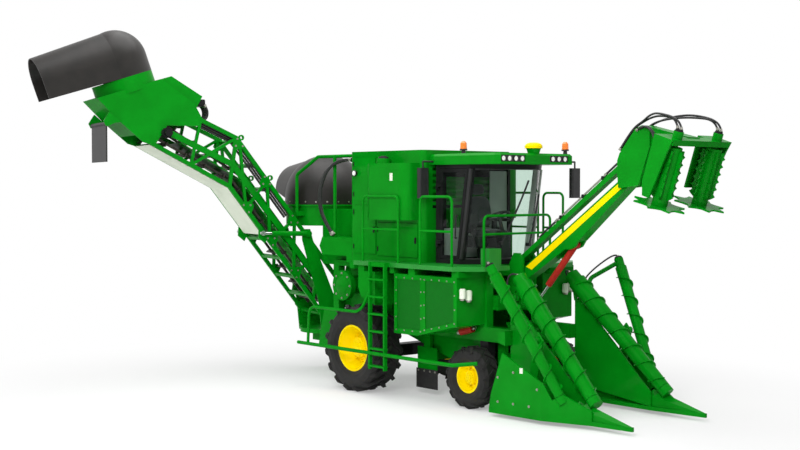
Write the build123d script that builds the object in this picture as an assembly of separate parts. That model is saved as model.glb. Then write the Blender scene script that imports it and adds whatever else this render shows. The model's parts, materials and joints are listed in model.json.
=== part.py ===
from build123d import *
import math
import os

# Sugar cane harvester, laid out in metres and written in millimetres: +X forward, +Y left, +Z up.
# Everything is placed from the ground point under the rear axle, then moved as one at the end.

RUN = 0.00005            # radial clearance of a turning fit
SIDES = ((-1, "right"), (1, "left"))

# wheels: radius out to the lugs' tips, width, rim radius, middle plane
REAR_R = 0.725
REAR_W = 0.58
REAR_RIM = 0.40
REAR_Y = 1.07
FRONT_R = 0.48
FRONT_W = 0.36
FRONT_RIM = 0.25
FRONT_Y = 0.92
FRONT_X = 2.475
KING_Y = 0.60
KING_R = 0.045
STUB_R = 0.06
SPINDLE_R = 0.045

# chassis
RAIL_IN = 0.56
RAIL_OUT = 0.70
RAIL_Z = (1.02, 1.24)
DECK_Z = (2.02, 2.12)
FLOOR_Z = 2.19
DUCT_Y = 0.47
DUCT = [(2.45, 0.36), (2.45, 1.12), (-0.45, 1.90), (-0.45, 1.18)]
CHOPPER = [(-0.45, 1.10), (-0.45, 1.95), (-1.10, 2.02), (-1.25, 1.45), (-1.0, 1.10)]

# feeding tools
KNOCK = (2.80, 1.13)
CUTTER_X = 2.75
CUTTER_Y = 0.25

# upper body
BAY_X = (-0.45, 1.42)
BAY_Y = 1.0
BAY_TOP = 3.99
WALK_Y = 1.36
TANK_Y = 1.30
RAIL_R = 0.02

# cab
CAB_BACK = 1.50
CAB_Z = (FLOOR_Z, 3.75)
CAB_Y = 0.80
CAB_WALL = 0.05
PILLAR_X = (2.05, 2.28)      # front pillar at floor and roof
SCREEN_BOW = 0.40            # bow of the windscreen ahead of its pillars
ROOF_Y = 0.86
ROOF_H = 0.17
ROOF_FACE = 2.95
LAMPS = (-0.74, -0.61, -0.47, -0.33, 0.36, 0.50, 0.64)
LAMP_Z = 3.835
BEACONS = ((2.05, -0.72), (2.84, 0.76))
DOME = (2.82, 0.05)
MIRRORS = ((1.50, -1), (2.76, 1))
DOOR_AXIS = (1.566, -0.83, 2.90)
DOOR_STRAPS = (2.50, 3.40)

# topper: pins of the boom and of its parallel link, cylinder pins, tool place and lean
BOOM_A = (2.65, 1.95)
BOOM_B = (4.75, 3.46)
LINK_A = (2.66, 2.28)
LINK_B = (4.76, 3.79)
TOP_CYL_BOOM = (3.74, 2.53)
TOP_CYL_BASE = (2.90, 1.56)
TOP_STROKE = 0.34
TOP_CHEEK = [
    (2.46, 1.62), (2.70, 1.62), (2.78, 1.90), (2.80, 2.28), (2.72, 2.37), (2.60, 2.37), (2.46, 2.10),
]
CYL_CHEEK = [(2.60, 1.50), (2.92, 1.48), (2.97, 1.56), (2.92, 1.64), (2.70, 1.72), (2.60, 1.72)]
TOOL_X = 5.63
TOOL_Y = 0.45
TOOL_Z = 3.14
TOOL_LEAN = 18.0

# dividers
DIV_PIVOT = (3.06, 1.13)
TIP = (5.51, 0.83, 0.09)
SCROLLS = [
    # name, bottom point, top point, bottom radius, top radius
    ("inner", (4.76, 0.80, 0.42), (3.24, 0.60, 1.92), 0.100, 0.145),
    ("outer", (4.38, 1.06, 0.44), (3.44, 1.42, 2.12), 0.075, 0.090),
]
FLIGHT = 0.030
PITCH = 0.32

# extractor on the slew axis
SLEW_X = -2.37
RING1_R = 0.76
RING1_Z = (2.70, 3.08)

# elevator in its own plane: s outward from the slew axis, t across, z up
SLEW_DEG = 76.0
FOOT = (0.15, 1.10)
LOW_RAIL = [(0.20, 0.95), (2.08, 3.41), (3.48, 4.15)]
TOP_RAIL = [(-0.083, 1.596), (1.95, 4.26), (2.60, 4.56)]
CARRY = [(0.38, 1.56), (1.9075, 3.555), (2.94, 4.16)]
ELEV_T = (0.46, 0.51)
RAIL_BAR = 0.07
MAST_PIN = (0.63, 2.56)
LIFT_EYE = (1.50, 2.58)
EYES = (0.72, 0.985)
EYE_R = 0.025
RING2 = (3.85, 5.26)
RING2_R = 0.53
RING2_TILT = 18.8
FAN_GAP = 0.06
HOOD_WALL = 0.02
FLAP = (4.24, 4.46)


def block(x, y, z):
    size = (x[1] - x[0], y[1] - y[0], z[1] - z[0])
    return Pos((x[0] + x[1]) / 2, (y[0] + y[1]) / 2, (z[0] + z[1]) / 2) * Box(*size)


def slab(points, axis, low, high):
    lift = high - low
    if axis == "x":
        corners = [(low, a, b) for a, b in points]
        step = Vector(lift, 0, 0)
    elif axis == "y":
        corners = [(a, low, b) for a, b in points]
        step = Vector(0, lift, 0)
    else:
        corners = [(a, b, low) for a, b in points]
        step = Vector(0, 0, lift)
    return Solid.extrude(Face(Wire.make_polygon(corners, close=True)), step)


def sided(points, side, near, far):
    return slab(points, "y", *sorted((side * near, side * far)))


def rod(start, end, radius):
    a = Vector(*start)
    b = Vector(*end)
    return Solid.make_cylinder(radius, (b - a).length, Plane(origin=a, z_dir=b - a))


def cross_rod(place, near, far, radius):
    # round bar along Y at an x, z place
    return rod((place[0], near, place[1]), (place[0], far, place[1]), radius)


def bent(points, bend):
    # straight runs joined by arcs of one bend radius
    edges = []
    here = Vector(*points[0])
    for before, corner, after in zip(points, points[1:], points[2:]):
        middle = Vector(*corner)
        u = (Vector(*before) - middle).normalized()
        v = (Vector(*after) - middle).normalized()
        half = math.acos(u.dot(v)) / 2
        start = middle + u * (bend / math.tan(half))
        end = middle + v * (bend / math.tan(half))
        crown = middle + (u + v).normalized() * (bend / math.sin(half) - bend)
        edges += [Edge.make_line(here, start), Edge.make_three_point_arc(start, crown, end)]
        here = end
    edges.append(Edge.make_line(here, Vector(*points[-1])))
    return Wire(edges)


def tube(points, radius, bend=0.09):
    path = bent(points, bend)
    section = Plane(origin=path @ 0, z_dir=path % 0) * Circle(radius)
    return sweep(section, path=path)


def strip(p, q, width):
    dx = q[0] - p[0]
    dz = q[1] - p[1]
    length = math.hypot(dx, dz)
    nx = -dz / length * width / 2
    nz = dx / length * width / 2
    return [(p[0] + nx, p[1] + nz), (q[0] + nx, q[1] + nz), (q[0] - nx, q[1] - nz), (p[0] - nx, p[1] - nz)]


def between(p, q, part):
    return tuple(a + (b - a) * part for a, b in zip(p, q))


def inset(points, depth):
    # moves every side of an outline inwards by the same depth
    pairs = list(zip(points, points[1:] + points[:1]))
    area = sum(p[0] * q[1] - q[0] * p[1] for p, q in pairs)
    turn = 1 if area > 0 else -1
    lines = []
    for p, q in pairs:
        length = math.dist(p, q)
        nx = (p[1] - q[1]) / length * turn
        nz = (q[0] - p[0]) / length * turn
        lines.append((nx, nz, nx * p[0] + nz * p[1] + depth))
    out = []
    for (a, b, c), (d, e, f) in zip(lines[-1:] + lines[:-1], lines):
        det = a * e - b * d
        out.append(((c * e - b * f) / det, (a * f - c * d) / det))
    return out


def turned(points):
    # turns an outline of radius and axial places about the Y axis
    wire = Wire.make_polygon([(r, a, 0) for r, a in points], close=True)
    return Solid.revolve(Face(wire), 360, Axis.Y)


def fuse(shapes):
    first = shapes[0]
    return first.fuse(*[s for shape in shapes[1:] for s in shape.solids()]) if len(shapes) > 1 else first


def group(shapes):
    return Compound(children=[s for shape in shapes for s in shape.solids()])


def common(shape, *tools):
    for tool in tools:
        got = shape.intersect(tool)
        shape = group(got) if isinstance(got, list) else got
    return shape


def cut(shape, *tools):
    return shape.cut(*[s for tool in tools for s in tool.solids()])


def tyre(radius, width, rim, lug):
    # carcass with two staggered rows of slanted lugs: count a side, height, thickness, slant
    count, height, thick, slant = lug
    half = width / 2
    r = radius - height
    waist = rim + 0.45 * (r - rim)
    outline = [
        (rim - 0.015, -half + 0.06), (rim + 0.05, -half + 0.012), (waist, -half), (r - 0.05, -half + 0.02),
        (r, -half + 0.07), (r, half - 0.07), (r - 0.05, half - 0.02), (waist, half),
        (rim + 0.05, half - 0.012), (rim - 0.015, half - 0.06),
    ]
    carcass = turned(outline)
    length = (half - 0.005) / math.cos(math.radians(slant))
    over = radius + 0.02
    bar = [
        (r - 0.03, -0.02), (over, -0.02), (over, length - 0.11), (r - 0.06, length), (r - 0.10, length - 0.03),
    ]
    lugs = []
    for side in (-1, 1):
        shape = Rot(side * slant, 0, 0) * slab([(a, side * b) for a, b in bar], "z", -thick / 2, thick / 2)
        for k in range(count):
            lugs.append(Rot(0, 360 / count * (k + 0.25 * side), 0) * shape)
    trim = Solid.make_cylinder(radius, 2 * width, Plane(origin=(0, -width, 0), z_dir=(0, 1, 0)))
    return fuse([carcass] + [common(s, trim) for s in lugs])


def rim(radius, width, bore, dish, hub):
    # barrel, dished disc and raised hub, outer side towards +Y; hub: radius and height
    half = width / 2 - 0.06
    r = radius - 0.015
    flat = max(r * 0.62, hub[0] + 0.03)
    outline = [
        (bore, dish - 0.10), (bore, dish + hub[1]), (hub[0] - 0.02, dish + hub[1]), (hub[0], dish),
        (flat, dish), (r - 0.05, half - 0.05), (r - 0.03, half), (r, half), (r, -half), (r - 0.03, -half),
        (r - 0.05, -half + 0.05), (flat - 0.02, dish - 0.03), (bore + 0.06, dish - 0.03),
        (bore + 0.06, dish - 0.10),
    ]
    return turned(outline)


def wheels(out):
    table = [
        # name, x, side offset, radius, width, rim radius, bore, dish, hub, lugs
        (
            "rear", 0, REAR_Y, REAR_R, REAR_W, REAR_RIM, STUB_R, 0.02, (0.18, 0.09), (16, 0.045, 0.06, 42),
        ),
        (
            "front", FRONT_X, FRONT_Y, FRONT_R, FRONT_W, FRONT_RIM, SPINDLE_R, 0.0, (0.12, 0.07),
            (15, 0.022, 0.045, 38),
        ),
    ]
    for axle, x, y, radius, width, rim_r, bore, dish, hub, lugs in table:
        rubber = tyre(radius, width, rim_r, lugs)
        disc = rim(rim_r, width, bore + RUN, dish, hub)
        for side, name in SIDES:
            place = Pos(x, side * y, radius) * Rot(0, 0, 90 - 90 * side)
            out[axle + "_tyre_" + name] = place * rubber
            out[axle + "_rim_" + name] = place * disc


def chassis(out):
    duct = slab(DUCT, "y", -DUCT_Y, DUCT_Y)
    throat = inset([(2.60, 0.318), (2.60, 1.080), (-0.60, 1.940), (-0.60, 1.222)], 0.03)
    out["feed_duct"] = cut(duct, slab(throat, "y", -DUCT_Y + 0.03, DUCT_Y - 0.03))

    # chopper box, a round drive cover on each side and the valve box above it
    box = slab(CHOPPER, "y", -RAIL_IN, RAIL_IN)
    pieces = [box]
    for side in (-1, 1):
        pieces.append(cross_rod((-0.79, 1.70), side * RAIL_IN, side * 0.80, 0.16))
        pieces.append(cross_rod((-0.79, 1.70), side * 0.80, side * 0.90, 0.26))
    out["chopper_box"] = fuse(pieces)

    bars = []
    for side in (-1, 1):
        y = sorted((side * RAIL_IN, side * RAIL_OUT))
        bars.append(block((-1.55, 3.12), y, RAIL_Z))
        for x in (-1.28, 0.15, 1.40, 2.40):
            bars.append(block((x, x + 0.15), y, (RAIL_Z[1], DECK_Z[0])))
        bars.append(block((-1.28, 2.70), y, DECK_Z))
        bars.append(block((0.95, 1.10), sorted((side * 0.50, side * RAIL_IN)), (0.56, 1.10)))
        tail = [(-1.55, 1.24), (-1.25, 1.24), (-1.25, 1.02), (-1.45, 0.56), (-1.72, 0.56)]
        bars.append(slab(tail, "y", *y))
        # pins of the divider and the knock-down roller, legs and hangers of the base cutter
        bars.append(cross_rod(DIV_PIVOT, side * RAIL_OUT, side * 0.90, 0.03))
        bars.append(cross_rod(KNOCK, side * RAIL_IN, side * 0.36, 0.04))
        bars.append(block((2.66, 2.82), sorted((side * 0.50, side * RAIL_IN)), (0.66, 1.10)))
        bars.append(rod((CUTTER_X, side * CUTTER_Y, 0.70), (CUTTER_X, side * CUTTER_Y, 0.24), 0.04))
        # topper cheek and cylinder cheek
        bars.append(sided(TOP_CHEEK, side, 0.125, 0.165))
        bars.append(sided(CYL_CHEEK, side, 0.065, 0.105))
    beams = [
        # x range, half width, z range
        ((-0.45, -0.33), BAY_Y, DECK_Z), ((0.15, 0.30), 1.30, DECK_Z), ((0.95, 1.05), 1.30, DECK_Z),
        ((1.40, 1.55), 1.30, DECK_Z), ((2.40, 2.55), 1.30, DECK_Z), ((0.95, 1.10), RAIL_IN, (0.56, 0.70)),
        ((2.46, 2.66), RAIL_IN, (1.50, 1.72)), ((-1.72, -1.45), RAIL_IN, (0.56, 0.72)),
        ((2.62, 2.86), 0.50, (0.66, 0.84)),
    ]
    for x, half, z in beams:
        bars.append(block(x, (-half, half), z))
    bars.append(block((SLEW_X - 0.16, -1.45), (-0.22, 0.22), (0.56, 0.72)))
    bars.append(cross_rod(BOOM_A, -0.165, 0.165, 0.035))
    bars.append(cross_rod(LINK_A, -0.165, 0.165, 0.03))
    slew = rod((SLEW_X, 0, 0.50), (SLEW_X, 0, 0.80), 0.09 + RUN)
    out["main_frame"] = cut(fuse(bars), duct, slew, box)

    legs = []
    for side in (-1, 1):
        leg = block((FRONT_X - 0.085, FRONT_X + 0.085), sorted((side * 0.52, side * 0.68)), (0.78, RAIL_Z[0]))
        legs.append(fuse([leg, rod((FRONT_X, side * KING_Y, 0.78), (FRONT_X, side * KING_Y, 0.30), KING_R)]))
    out["front_axle"] = group(legs)

    drives = [block((-0.10, 0.10), (-RAIL_IN, RAIL_IN), (0.52, 0.72))]
    for side in (-1, 1):
        drives.append(block((-0.22, 0.22), sorted((side * RAIL_IN, side * RAIL_OUT)), (0.50, RAIL_Z[0])))
        drives.append(cross_rod((0, REAR_R), side * RAIL_OUT, side * 0.93, 0.22))
        drives.append(cross_rod((0, REAR_R), side * 0.93, side * 1.12, STUB_R))
    out["rear_axle"] = fuse(drives)

    for side, name in SIDES:
        sleeve = rod((FRONT_X, side * KING_Y, 0.30), (FRONT_X, side * KING_Y, 0.775), 0.085)
        arm = cross_rod((FRONT_X, FRONT_R), side * KING_Y, side * 0.80, 0.08)
        spindle = cross_rod((FRONT_X, FRONT_R), side * 0.80, side * 0.94, SPINDLE_R)
        bore = rod((FRONT_X, side * KING_Y, 0.29), (FRONT_X, side * KING_Y, 0.79), KING_R + RUN)
        out["front_knuckle_" + name] = cut(fuse([sleeve, arm, spindle]), bore)


def feeders(out):
    x, z = KNOCK
    roller = [cross_rod(KNOCK, -0.42, 0.42, 0.10)]
    for turn in range(6):
        paddle = Rot(0, 60 * turn, 0) * block((0.08, 0.20), (-0.42, 0.42), (-0.01, 0.01))
        roller.append(Pos(x, 0, z) * paddle)
    out["knockdown_roller"] = cut(fuse(roller), cross_rod(KNOCK, -0.6, 0.6, 0.04 + RUN))
    for side, name in SIDES:
        y = side * CUTTER_Y
        disc = [rod((CUTTER_X, y, 0.20), (CUTTER_X, y, 0.64), 0.08)]
        disc.append(rod((CUTTER_X, y, 0.16), (CUTTER_X, y, 0.20), 0.20))
        for turn in range(5):
            knife = block((0.15, 0.235), (-0.04, 0.04), (0.165, 0.175))
            disc.append(Pos(CUTTER_X, y, 0) * (Rot(0, 0, 72 * turn + 36 * (side > 0)) * knife))
        out["base_cutter_" + name] = cut(fuse(disc), rod((CUTTER_X, y, 0.23), (CUTTER_X, y, 0.7), 0.04 + RUN))


def upper_body(out):
    out["engine_block"] = block((-0.33, 0.95), (-0.42, 0.42), (DECK_Z[1], 3.15))
    shell = block(BAY_X, (-BAY_Y, BAY_Y), (DECK_Z[1], BAY_TOP))
    corners = [e for e in shell.edges().filter_by(Axis.Z)]
    shell = fillet(corners, 0.10)
    room = block((BAY_X[0] + 0.03, BAY_X[1] - 0.03), (-BAY_Y + 0.03, BAY_Y - 0.03), (2.0, BAY_TOP - 0.03))
    # louvre slots in the front wall above the cab's back, and a top grating
    slots = [block((1.36, 1.50), (-0.80, 0.80), (3.06 + 0.1 * k, 3.11 + 0.1 * k)) for k in range(8)]
    ribs = [block((0.06 + 0.16 * k, 0.16 + 0.16 * k), (-0.70, 0.70), (3.9, 4.1)) for k in range(7)]
    out["engine_bay"] = cut(shell, room, *slots, *ribs)

    tanks = []
    for side in (-1, 1):
        tank = block((0.30, 1.33), sorted((side * BAY_Y, side * TANK_Y)), (2.87, 3.78))
        outer = [e for e in tank.edges().filter_by(Axis.Z) if abs(e.center().Y) > 1.2]
        tank = fillet(outer, 0.16)
        neck = rod((0.62, side * 1.15, 3.78), (0.62, side * 1.15, 3.86), 0.11)
        tanks.append(fuse([tank, neck]))
    out["side_tanks"] = group(tanks)

    # side bays under the walkway with two recessed screens each, narrow lockers and valve boxes
    bays = []
    outline = [(1.06, 1.07), (1.60, 1.07), (2.51, 1.28), (2.51, 2.02), (1.06, 2.02)]
    screens = [
        [(1.13, 1.15), (1.68, 1.16), (1.68, 1.94), (1.13, 1.94)],
        [(1.80, 1.19), (2.44, 1.34), (2.44, 1.94), (1.80, 1.94)],
    ]
    locker = [(0.15, 2.02), (0.15, 1.75), (0.22, 1.60), (0.58, 1.48), (0.58, 2.02)]
    valves = [
        (-1.28, 2.22), (-1.36, 2.37), (-1.28, 2.53), (-0.45, 2.53), (-0.45, DECK_Z[1]), (-0.60, DECK_Z[1]),
        (-0.60, 2.22),
    ]
    for side in (-1, 1):
        bay = sided(outline, side, RAIL_OUT, 1.30)
        bays.append(cut(bay, *[sided(s, side, 1.285, 1.32) for s in screens]))
        bays.append(sided(locker, side, RAIL_OUT, 1.30))
        bays.append(sided(valves, side, RAIL_IN, 0.95))
    out["side_bays"] = group(bays)

    plan = [
        (0.10, -WALK_Y), (2.48, -WALK_Y), (2.80, -1.0), (2.80, -0.45), (2.42, -0.45),
        (2.42, 0.45), (2.80, 0.45), (2.80, 1.0), (2.48, WALK_Y), (0.10, WALK_Y),
        (0.10, BAY_Y), (BAY_X[1], BAY_Y), (BAY_X[1], -BAY_Y), (0.10, -BAY_Y),
    ]
    box = block((2.62, 2.80), (-0.90, -0.64), (FLOOR_Z - 0.01, 2.46))
    out["walkway"] = fuse([slab(plan, "z", DECK_Z[1], FLOOR_Z), box])


def arch(x, half, base, top):
    # upright walls under a half-round crown, across X
    spring = top - half
    walls = Polyline((x, half, spring), (x, half, base), (x, -half, base), (x, -half, spring))
    crown = ThreePointArc((x, -half, spring), (x, 0, top), (x, half, spring))
    return Wire([*walls.edges(), crown.edge()])


def dome(radius, base, spring):
    # upright ring wall under half a ball
    low = Line((0, 0, base), (radius, 0, base)).edge()
    wall = Line((radius, 0, base), (radius, 0, spring)).edge()
    cosine = radius * math.cos(math.radians(45))
    ball = ThreePointArc((radius, 0, spring), (cosine, 0, spring + cosine), (0, 0, spring + radius)).edge()
    axis = Line((0, 0, spring + radius), (0, 0, base)).edge()
    return Solid.revolve(Face(Wire([low, wall, ball, axis])), 360, Axis.Z)


def hood(radius, spring, mouth):
    # X outward, Z along the ring's axis; mouth: reach, half width, sill, top
    reach, half, sill, top = mouth
    past = 1.25
    root = radius - 0.008
    crown = spring + root
    outside = Solid.make_loft([arch(0, root, 0, crown), arch(reach, half, sill, top)], True)
    near = arch(0, root - HOOD_WALL, -0.1, crown - HOOD_WALL)
    far = arch(
        reach * past, root + (half - root) * past - HOOD_WALL, sill * past - 0.1,
        crown + (top - crown) * past - HOOD_WALL,
    )
    inside = Solid.make_loft([near, far], True)
    shell = fuse([dome(radius, 0, spring), outside])
    return cut(shell, dome(radius - HOOD_WALL, -0.1, spring), inside)


def fan(radius, hub, hub_z, blade_z, bore):
    blades = [rod((0, 0, hub_z[0]), (0, 0, hub_z[1]), hub)]
    length = radius - hub + 0.03
    for turn in range(4):
        blade = Pos(hub - 0.03 + length / 2, 0, 0) * (Rot(25, 0, 0) * Box(length, 0.3 * radius, 0.012))
        blades.append(Pos(0, 0, blade_z) * (Rot(0, 0, 90 * turn) * blade))
    return cut(fuse(blades), rod((0, 0, hub_z[0] - 0.2), (0, 0, hub_z[1] + 0.2), bore + RUN))


def extractor(out):
    barrel = rod((SLEW_X, 0, RING1_Z[0]), (SLEW_X, 0, RING1_Z[1]), RING1_R)
    flange = rod((SLEW_X, 0, RING1_Z[1] - 0.03), (SLEW_X, 0, RING1_Z[1]), 0.80)
    outline = [(-0.45, 2.02), (-0.45, 3.00), (-1.95, 3.00), (-1.95, 2.70), (-1.80, 2.70), (-1.80, 2.02)]
    chamber = slab(outline, "y", -RAIL_IN + 0.02, RAIL_IN - 0.02)
    room = [(-0.48, 2.05), (-0.48, 2.97), (-2.0, 2.97), (-2.0, 2.0), (-1.15, 2.0), (-1.10, 2.05)]
    void = slab(room, "y", -RAIL_IN + 0.05, RAIL_IN - 0.05)
    bore = rod((SLEW_X, 0, 2.5), (SLEW_X, 0, 3.2), RING1_R - 0.03)
    body = cut(fuse([barrel, flange, chamber]), void, bore)
    spider = block((SLEW_X - 0.05, SLEW_X + 0.05), (-RING1_R + 0.02, RING1_R - 0.02), (2.72, 2.78))
    stub = rod((SLEW_X, 0, 2.78), (SLEW_X, 0, 3.0), 0.04)
    pieces = [body, spider, stub]
    # bent guard tubes beside the hood, from the barrel's brackets to the engine bay
    for side in (-1, 1):
        y = side * 0.87
        pieces.append(tube([(-2.13, y, 2.92), (-2.13, y, 3.62), (-1.50, y, 3.93), (BAY_X[0], y, 3.93)], 0.03))
        pieces.append(rod((-1.02, y, 2.53), (-1.02, y, 3.93), 0.03))
        pieces.append(block((-2.17, -2.09), sorted((side * 0.70, side * 0.90)), (2.88, 2.96)))
    body = fuse(pieces)
    out["extractor_chamber"] = cut(body, bore.cut(*spider.solids(), *stub.solids()))

    place = Pos(SLEW_X, 0, 0)
    out["primary_fan"] = place * fan(RING1_R - FAN_GAP, 0.12, (2.78 + RUN, 2.98), 2.88, 0.04)

    shape = hood(0.78, 0.13, (0.97, 0.48, 0.25, 0.74))
    out["primary_hood"] = Pos(SLEW_X, 0, RING1_Z[1] + RUN) * (Rot(0, 0, 180) * shape)


def elevator(out):
    place = Pos(SLEW_X, 0, 0) * Rot(0, 0, 180 + SLEW_DEG)
    low0, low1, low2 = LOW_RAIL
    top0, top1, top2 = TOP_RAIL
    mid = [between(low0, top0, 0.52), between(low1, top1, 0.45), between(low2, top2, 0.40)]
    braces = [
        # from the low rail, to the top rail: parts of their steep runs
        (0.16, 0.22), (0.36, 0.22), (0.36, 0.46), (0.60, 0.46), (0.60, 0.72), (0.84, 0.72), (0.84, 0.97),
    ]
    bars = []
    for side in (-1, 1):
        t = sorted((side * ELEV_T[0], side * ELEV_T[1]))
        for path, width in ((LOW_RAIL, RAIL_BAR), (TOP_RAIL, RAIL_BAR), (mid, 0.10)):
            for p, q in zip(path, path[1:]):
                bars.append(slab(strip(p, q, width), "y", *t))
            bars.append(cross_rod(path[1], t[0], t[1], width / 2))
        for low, top in braces:
            bars.append(slab(strip(between(low0, low1, low), between(top0, top1, top), 0.05), "y", *t))
        bars.append(slab(strip(low1, top1, 0.06), "y", *t))
        bars.append(slab(strip(low0, top0, 0.08), "y", *t))
        bars.append(slab(strip(between(low1, low2, 0.5), top1, 0.05), "y", *t))
        bars.append(slab(strip(between(low1, low2, 0.5), top2, 0.05), "y", *t))
        foot = [(0.03, 1.00), (0.25, 0.94), (0.45, 1.20), (0.15, 1.40)]
        bars.append(slab(foot, "y", *t))
        bars.append(sided([(1.40, 2.48), (1.55, 2.66), (1.56, 2.50), (1.44, 2.40)], side, 0.51, 0.545))
        # lifting eyes on the top rail
        for part in EYES:
            x, z = between(top0, top1, part)
            eye = (x - 0.06, z + 0.045)
            bars.append(cut(cross_rod(eye, t[0], t[1], 0.05), cross_rod(eye, -1, 1, EYE_R)))
    lean = math.degrees(math.atan2(low1[1] - low0[1], low1[0] - low0[0]))
    for path, parts in ((LOW_RAIL, (0.06, 0.20, 0.34, 0.48, 0.62)), (TOP_RAIL, (0.66, 0.82, 0.98))):
        for part in parts:
            x, z = between(path[0], path[1], part)
            bars.append(Pos(x, 0, z) * (Rot(0, -lean, 0) * Box(0.06, 2 * ELEV_T[0] + 0.02, 0.05)))
    # smooth floor plate under the upper half
    start = between(low0, low1, 0.66)
    under = [
        (start[0] + 0.024, start[1] - 0.018), (2.104, 3.390), (3.496, 4.126), (3.489, 4.140), (2.096, 3.405),
        (start[0] + 0.012, start[1] - 0.009),
    ]
    bars.append(slab(under, "y", -ELEV_T[0], ELEV_T[0]))
    # carrying floor between the two runs of the chain
    for p, q in zip(CARRY, CARRY[1:]):
        bars.append(slab(strip(p, q, 0.012), "y", -ELEV_T[0] - 0.005, ELEV_T[0] + 0.005))
    frame = fuse(bars)
    for side in (-1, 1):
        frame = cut(frame, cross_rod(FOOT, side * 0.40, side * 0.60, 0.035 + RUN))
    out["elevator_frame"] = place * frame

    # chain loop with slats and two shafts
    loop = [(0.26, 1.23), (1.985, 3.49), (3.36, 4.22), (3.20, 4.50), (1.83, 3.62), (0.09, 1.36)]
    chain = []
    for side in (-1, 1):
        strand = sided(loop, side, 0.30, 0.34)
        chain.append(cut(strand, sided(inset(loop, 0.04), side, 0.29, 0.35)))
    for k, count in ((0, 8), (1, 4), (3, 4), (4, 8)):
        p = loop[k]
        q = loop[k + 1]
        angle = math.degrees(math.atan2(q[1] - p[1], q[0] - p[0]))
        for slat in range(count):
            x, z = between(p, q, (slat + 0.5) / count)
            chain.append(Pos(x, 0, z) * (Rot(0, -angle, 0) * Box(0.02, 0.84, 0.08)))
    for shaft in ((0.215, 1.33), (3.22, 4.32)):
        chain.append(cross_rod(shaft, -ELEV_T[0], ELEV_T[0], 0.06))
    chain = fuse(chain)
    out["elevator_conveyor"] = place * cut(chain, frame)

    # hoses clipped inside the near top rail
    lines = []
    run = [between(top0, top1, 0.50), top1, between(top1, top2, 0.9)]
    for k in range(3):
        drop = 0.03 + 0.045 * k
        lines.append(tube([(s + 0.8 * drop, ELEV_T[0] - 0.0203, z - 0.6 * drop) for s, z in run], 0.02))
    out["elevator_hoses"] = place * group([cut(h, frame) for h in lines])

    # head housing and fan ring
    tilt = math.radians(RING2_TILT)
    axis = (math.sin(tilt), math.cos(tilt))

    def up(distance):
        return (RING2[0] + distance * axis[0], 0, RING2[1] + distance * axis[1])

    plates = [
        (2.50, 4.45), (2.72, 4.84), (3.30, 5.24), (4.40, 4.88), (4.02, 4.50), (3.62, 4.16), (3.42, 4.10),
        (3.20, 4.45),
    ]
    room = [
        (2.45, 4.40), (2.74, 4.80), (3.31, 5.20), (3.40, 5.5), (4.40, 5.2), (4.36, 4.87), (3.98, 4.50),
        (3.6, 4.12), (3.4, 4.0),
    ]
    shell = cut(slab(plates, "y", -0.51, 0.51), slab(room, "y", -0.48, 0.48))
    house = cut(fuse([shell, rod(up(-0.26), up(0), RING2_R)]), rod(up(-0.36), up(0.1), RING2_R - 0.03))
    spider = Pos(*up(-0.22)) * (Rot(0, RING2_TILT, 0) * Box(0.08, 2 * RING2_R - 0.03, 0.05))
    extra = [house, spider, rod(up(-0.22), up(-0.02), 0.035)]
    for side in (-1, 1):
        arm = [(4.00, 4.49), (4.20, 4.66), (4.30, 4.50), (4.26, 4.42), (4.22, 4.42), (4.12, 4.47)]
        extra.append(sided(arm, side, 0.51, 0.545))
        extra.append(cross_rod(FLAP, side * 0.52, side * 0.47, 0.02))
    extra.append(slab([(4.05, 4.53), (4.10, 4.58), (4.10, 4.62), (4.03, 4.56)], "y", -0.51, 0.51))
    # motor cover on the inner slope
    cover = [(2.66, 4.76), (2.55, 4.97), (3.10, 5.30), (3.34, 5.22), (2.76, 4.84)]
    extra.append(slab(cover, "y", 0.02, 0.44))
    house = cut(fuse(extra), frame, chain)
    out["secondary_chamber"] = place * group([s for s in house.solids() if s.volume > 0.001])

    sheet = block((FLAP[0] - 0.012, FLAP[0] + 0.012), (-0.50, 0.50), (FLAP[1] - 0.64, FLAP[1] - 0.02))
    flap = [sheet, cross_rod(FLAP, -0.50, 0.50, 0.035)]
    holes = [cross_rod(FLAP, side * 0.46, side * 0.60, 0.02 + RUN) for side in (-1, 1)]
    out["bin_flap"] = place * cut(fuse(flap), *holes)

    seat = place * Pos(*up(0)) * Rot(0, RING2_TILT, 0)
    out["secondary_fan"] = seat * fan(RING2_R - FAN_GAP, 0.09, (-0.17, -0.04), -0.10, 0.035)
    shape = hood(RING2_R, 0.31, (1.38, 0.43, 0.03, 0.76))
    out["secondary_hood"] = seat * (Pos(0, 0, RUN) * shape)

    # turntable with two masts, lift cylinders outside the frame
    table = [rod((0, 0, 0.72 + RUN), (0, 0, 0.80), 0.50), rod((0, 0, 0.56), (0, 0, 0.73), 0.09)]
    mast = [
        (-0.20, 0.72 + RUN), (0.34, 0.72 + RUN), (0.40, 1.30), (0.72, 2.45), (0.72, 2.64), (0.57, 2.64),
        (0.52, 2.45), (0.05, 1.30),
    ]
    barrels = []
    rods = []
    length = math.dist(MAST_PIN, LIFT_EYE)
    for side in (-1, 1):
        def at(distance):
            x, z = between(MAST_PIN, LIFT_EYE, distance / length)
            return (x, side * 0.60, z)

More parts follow.
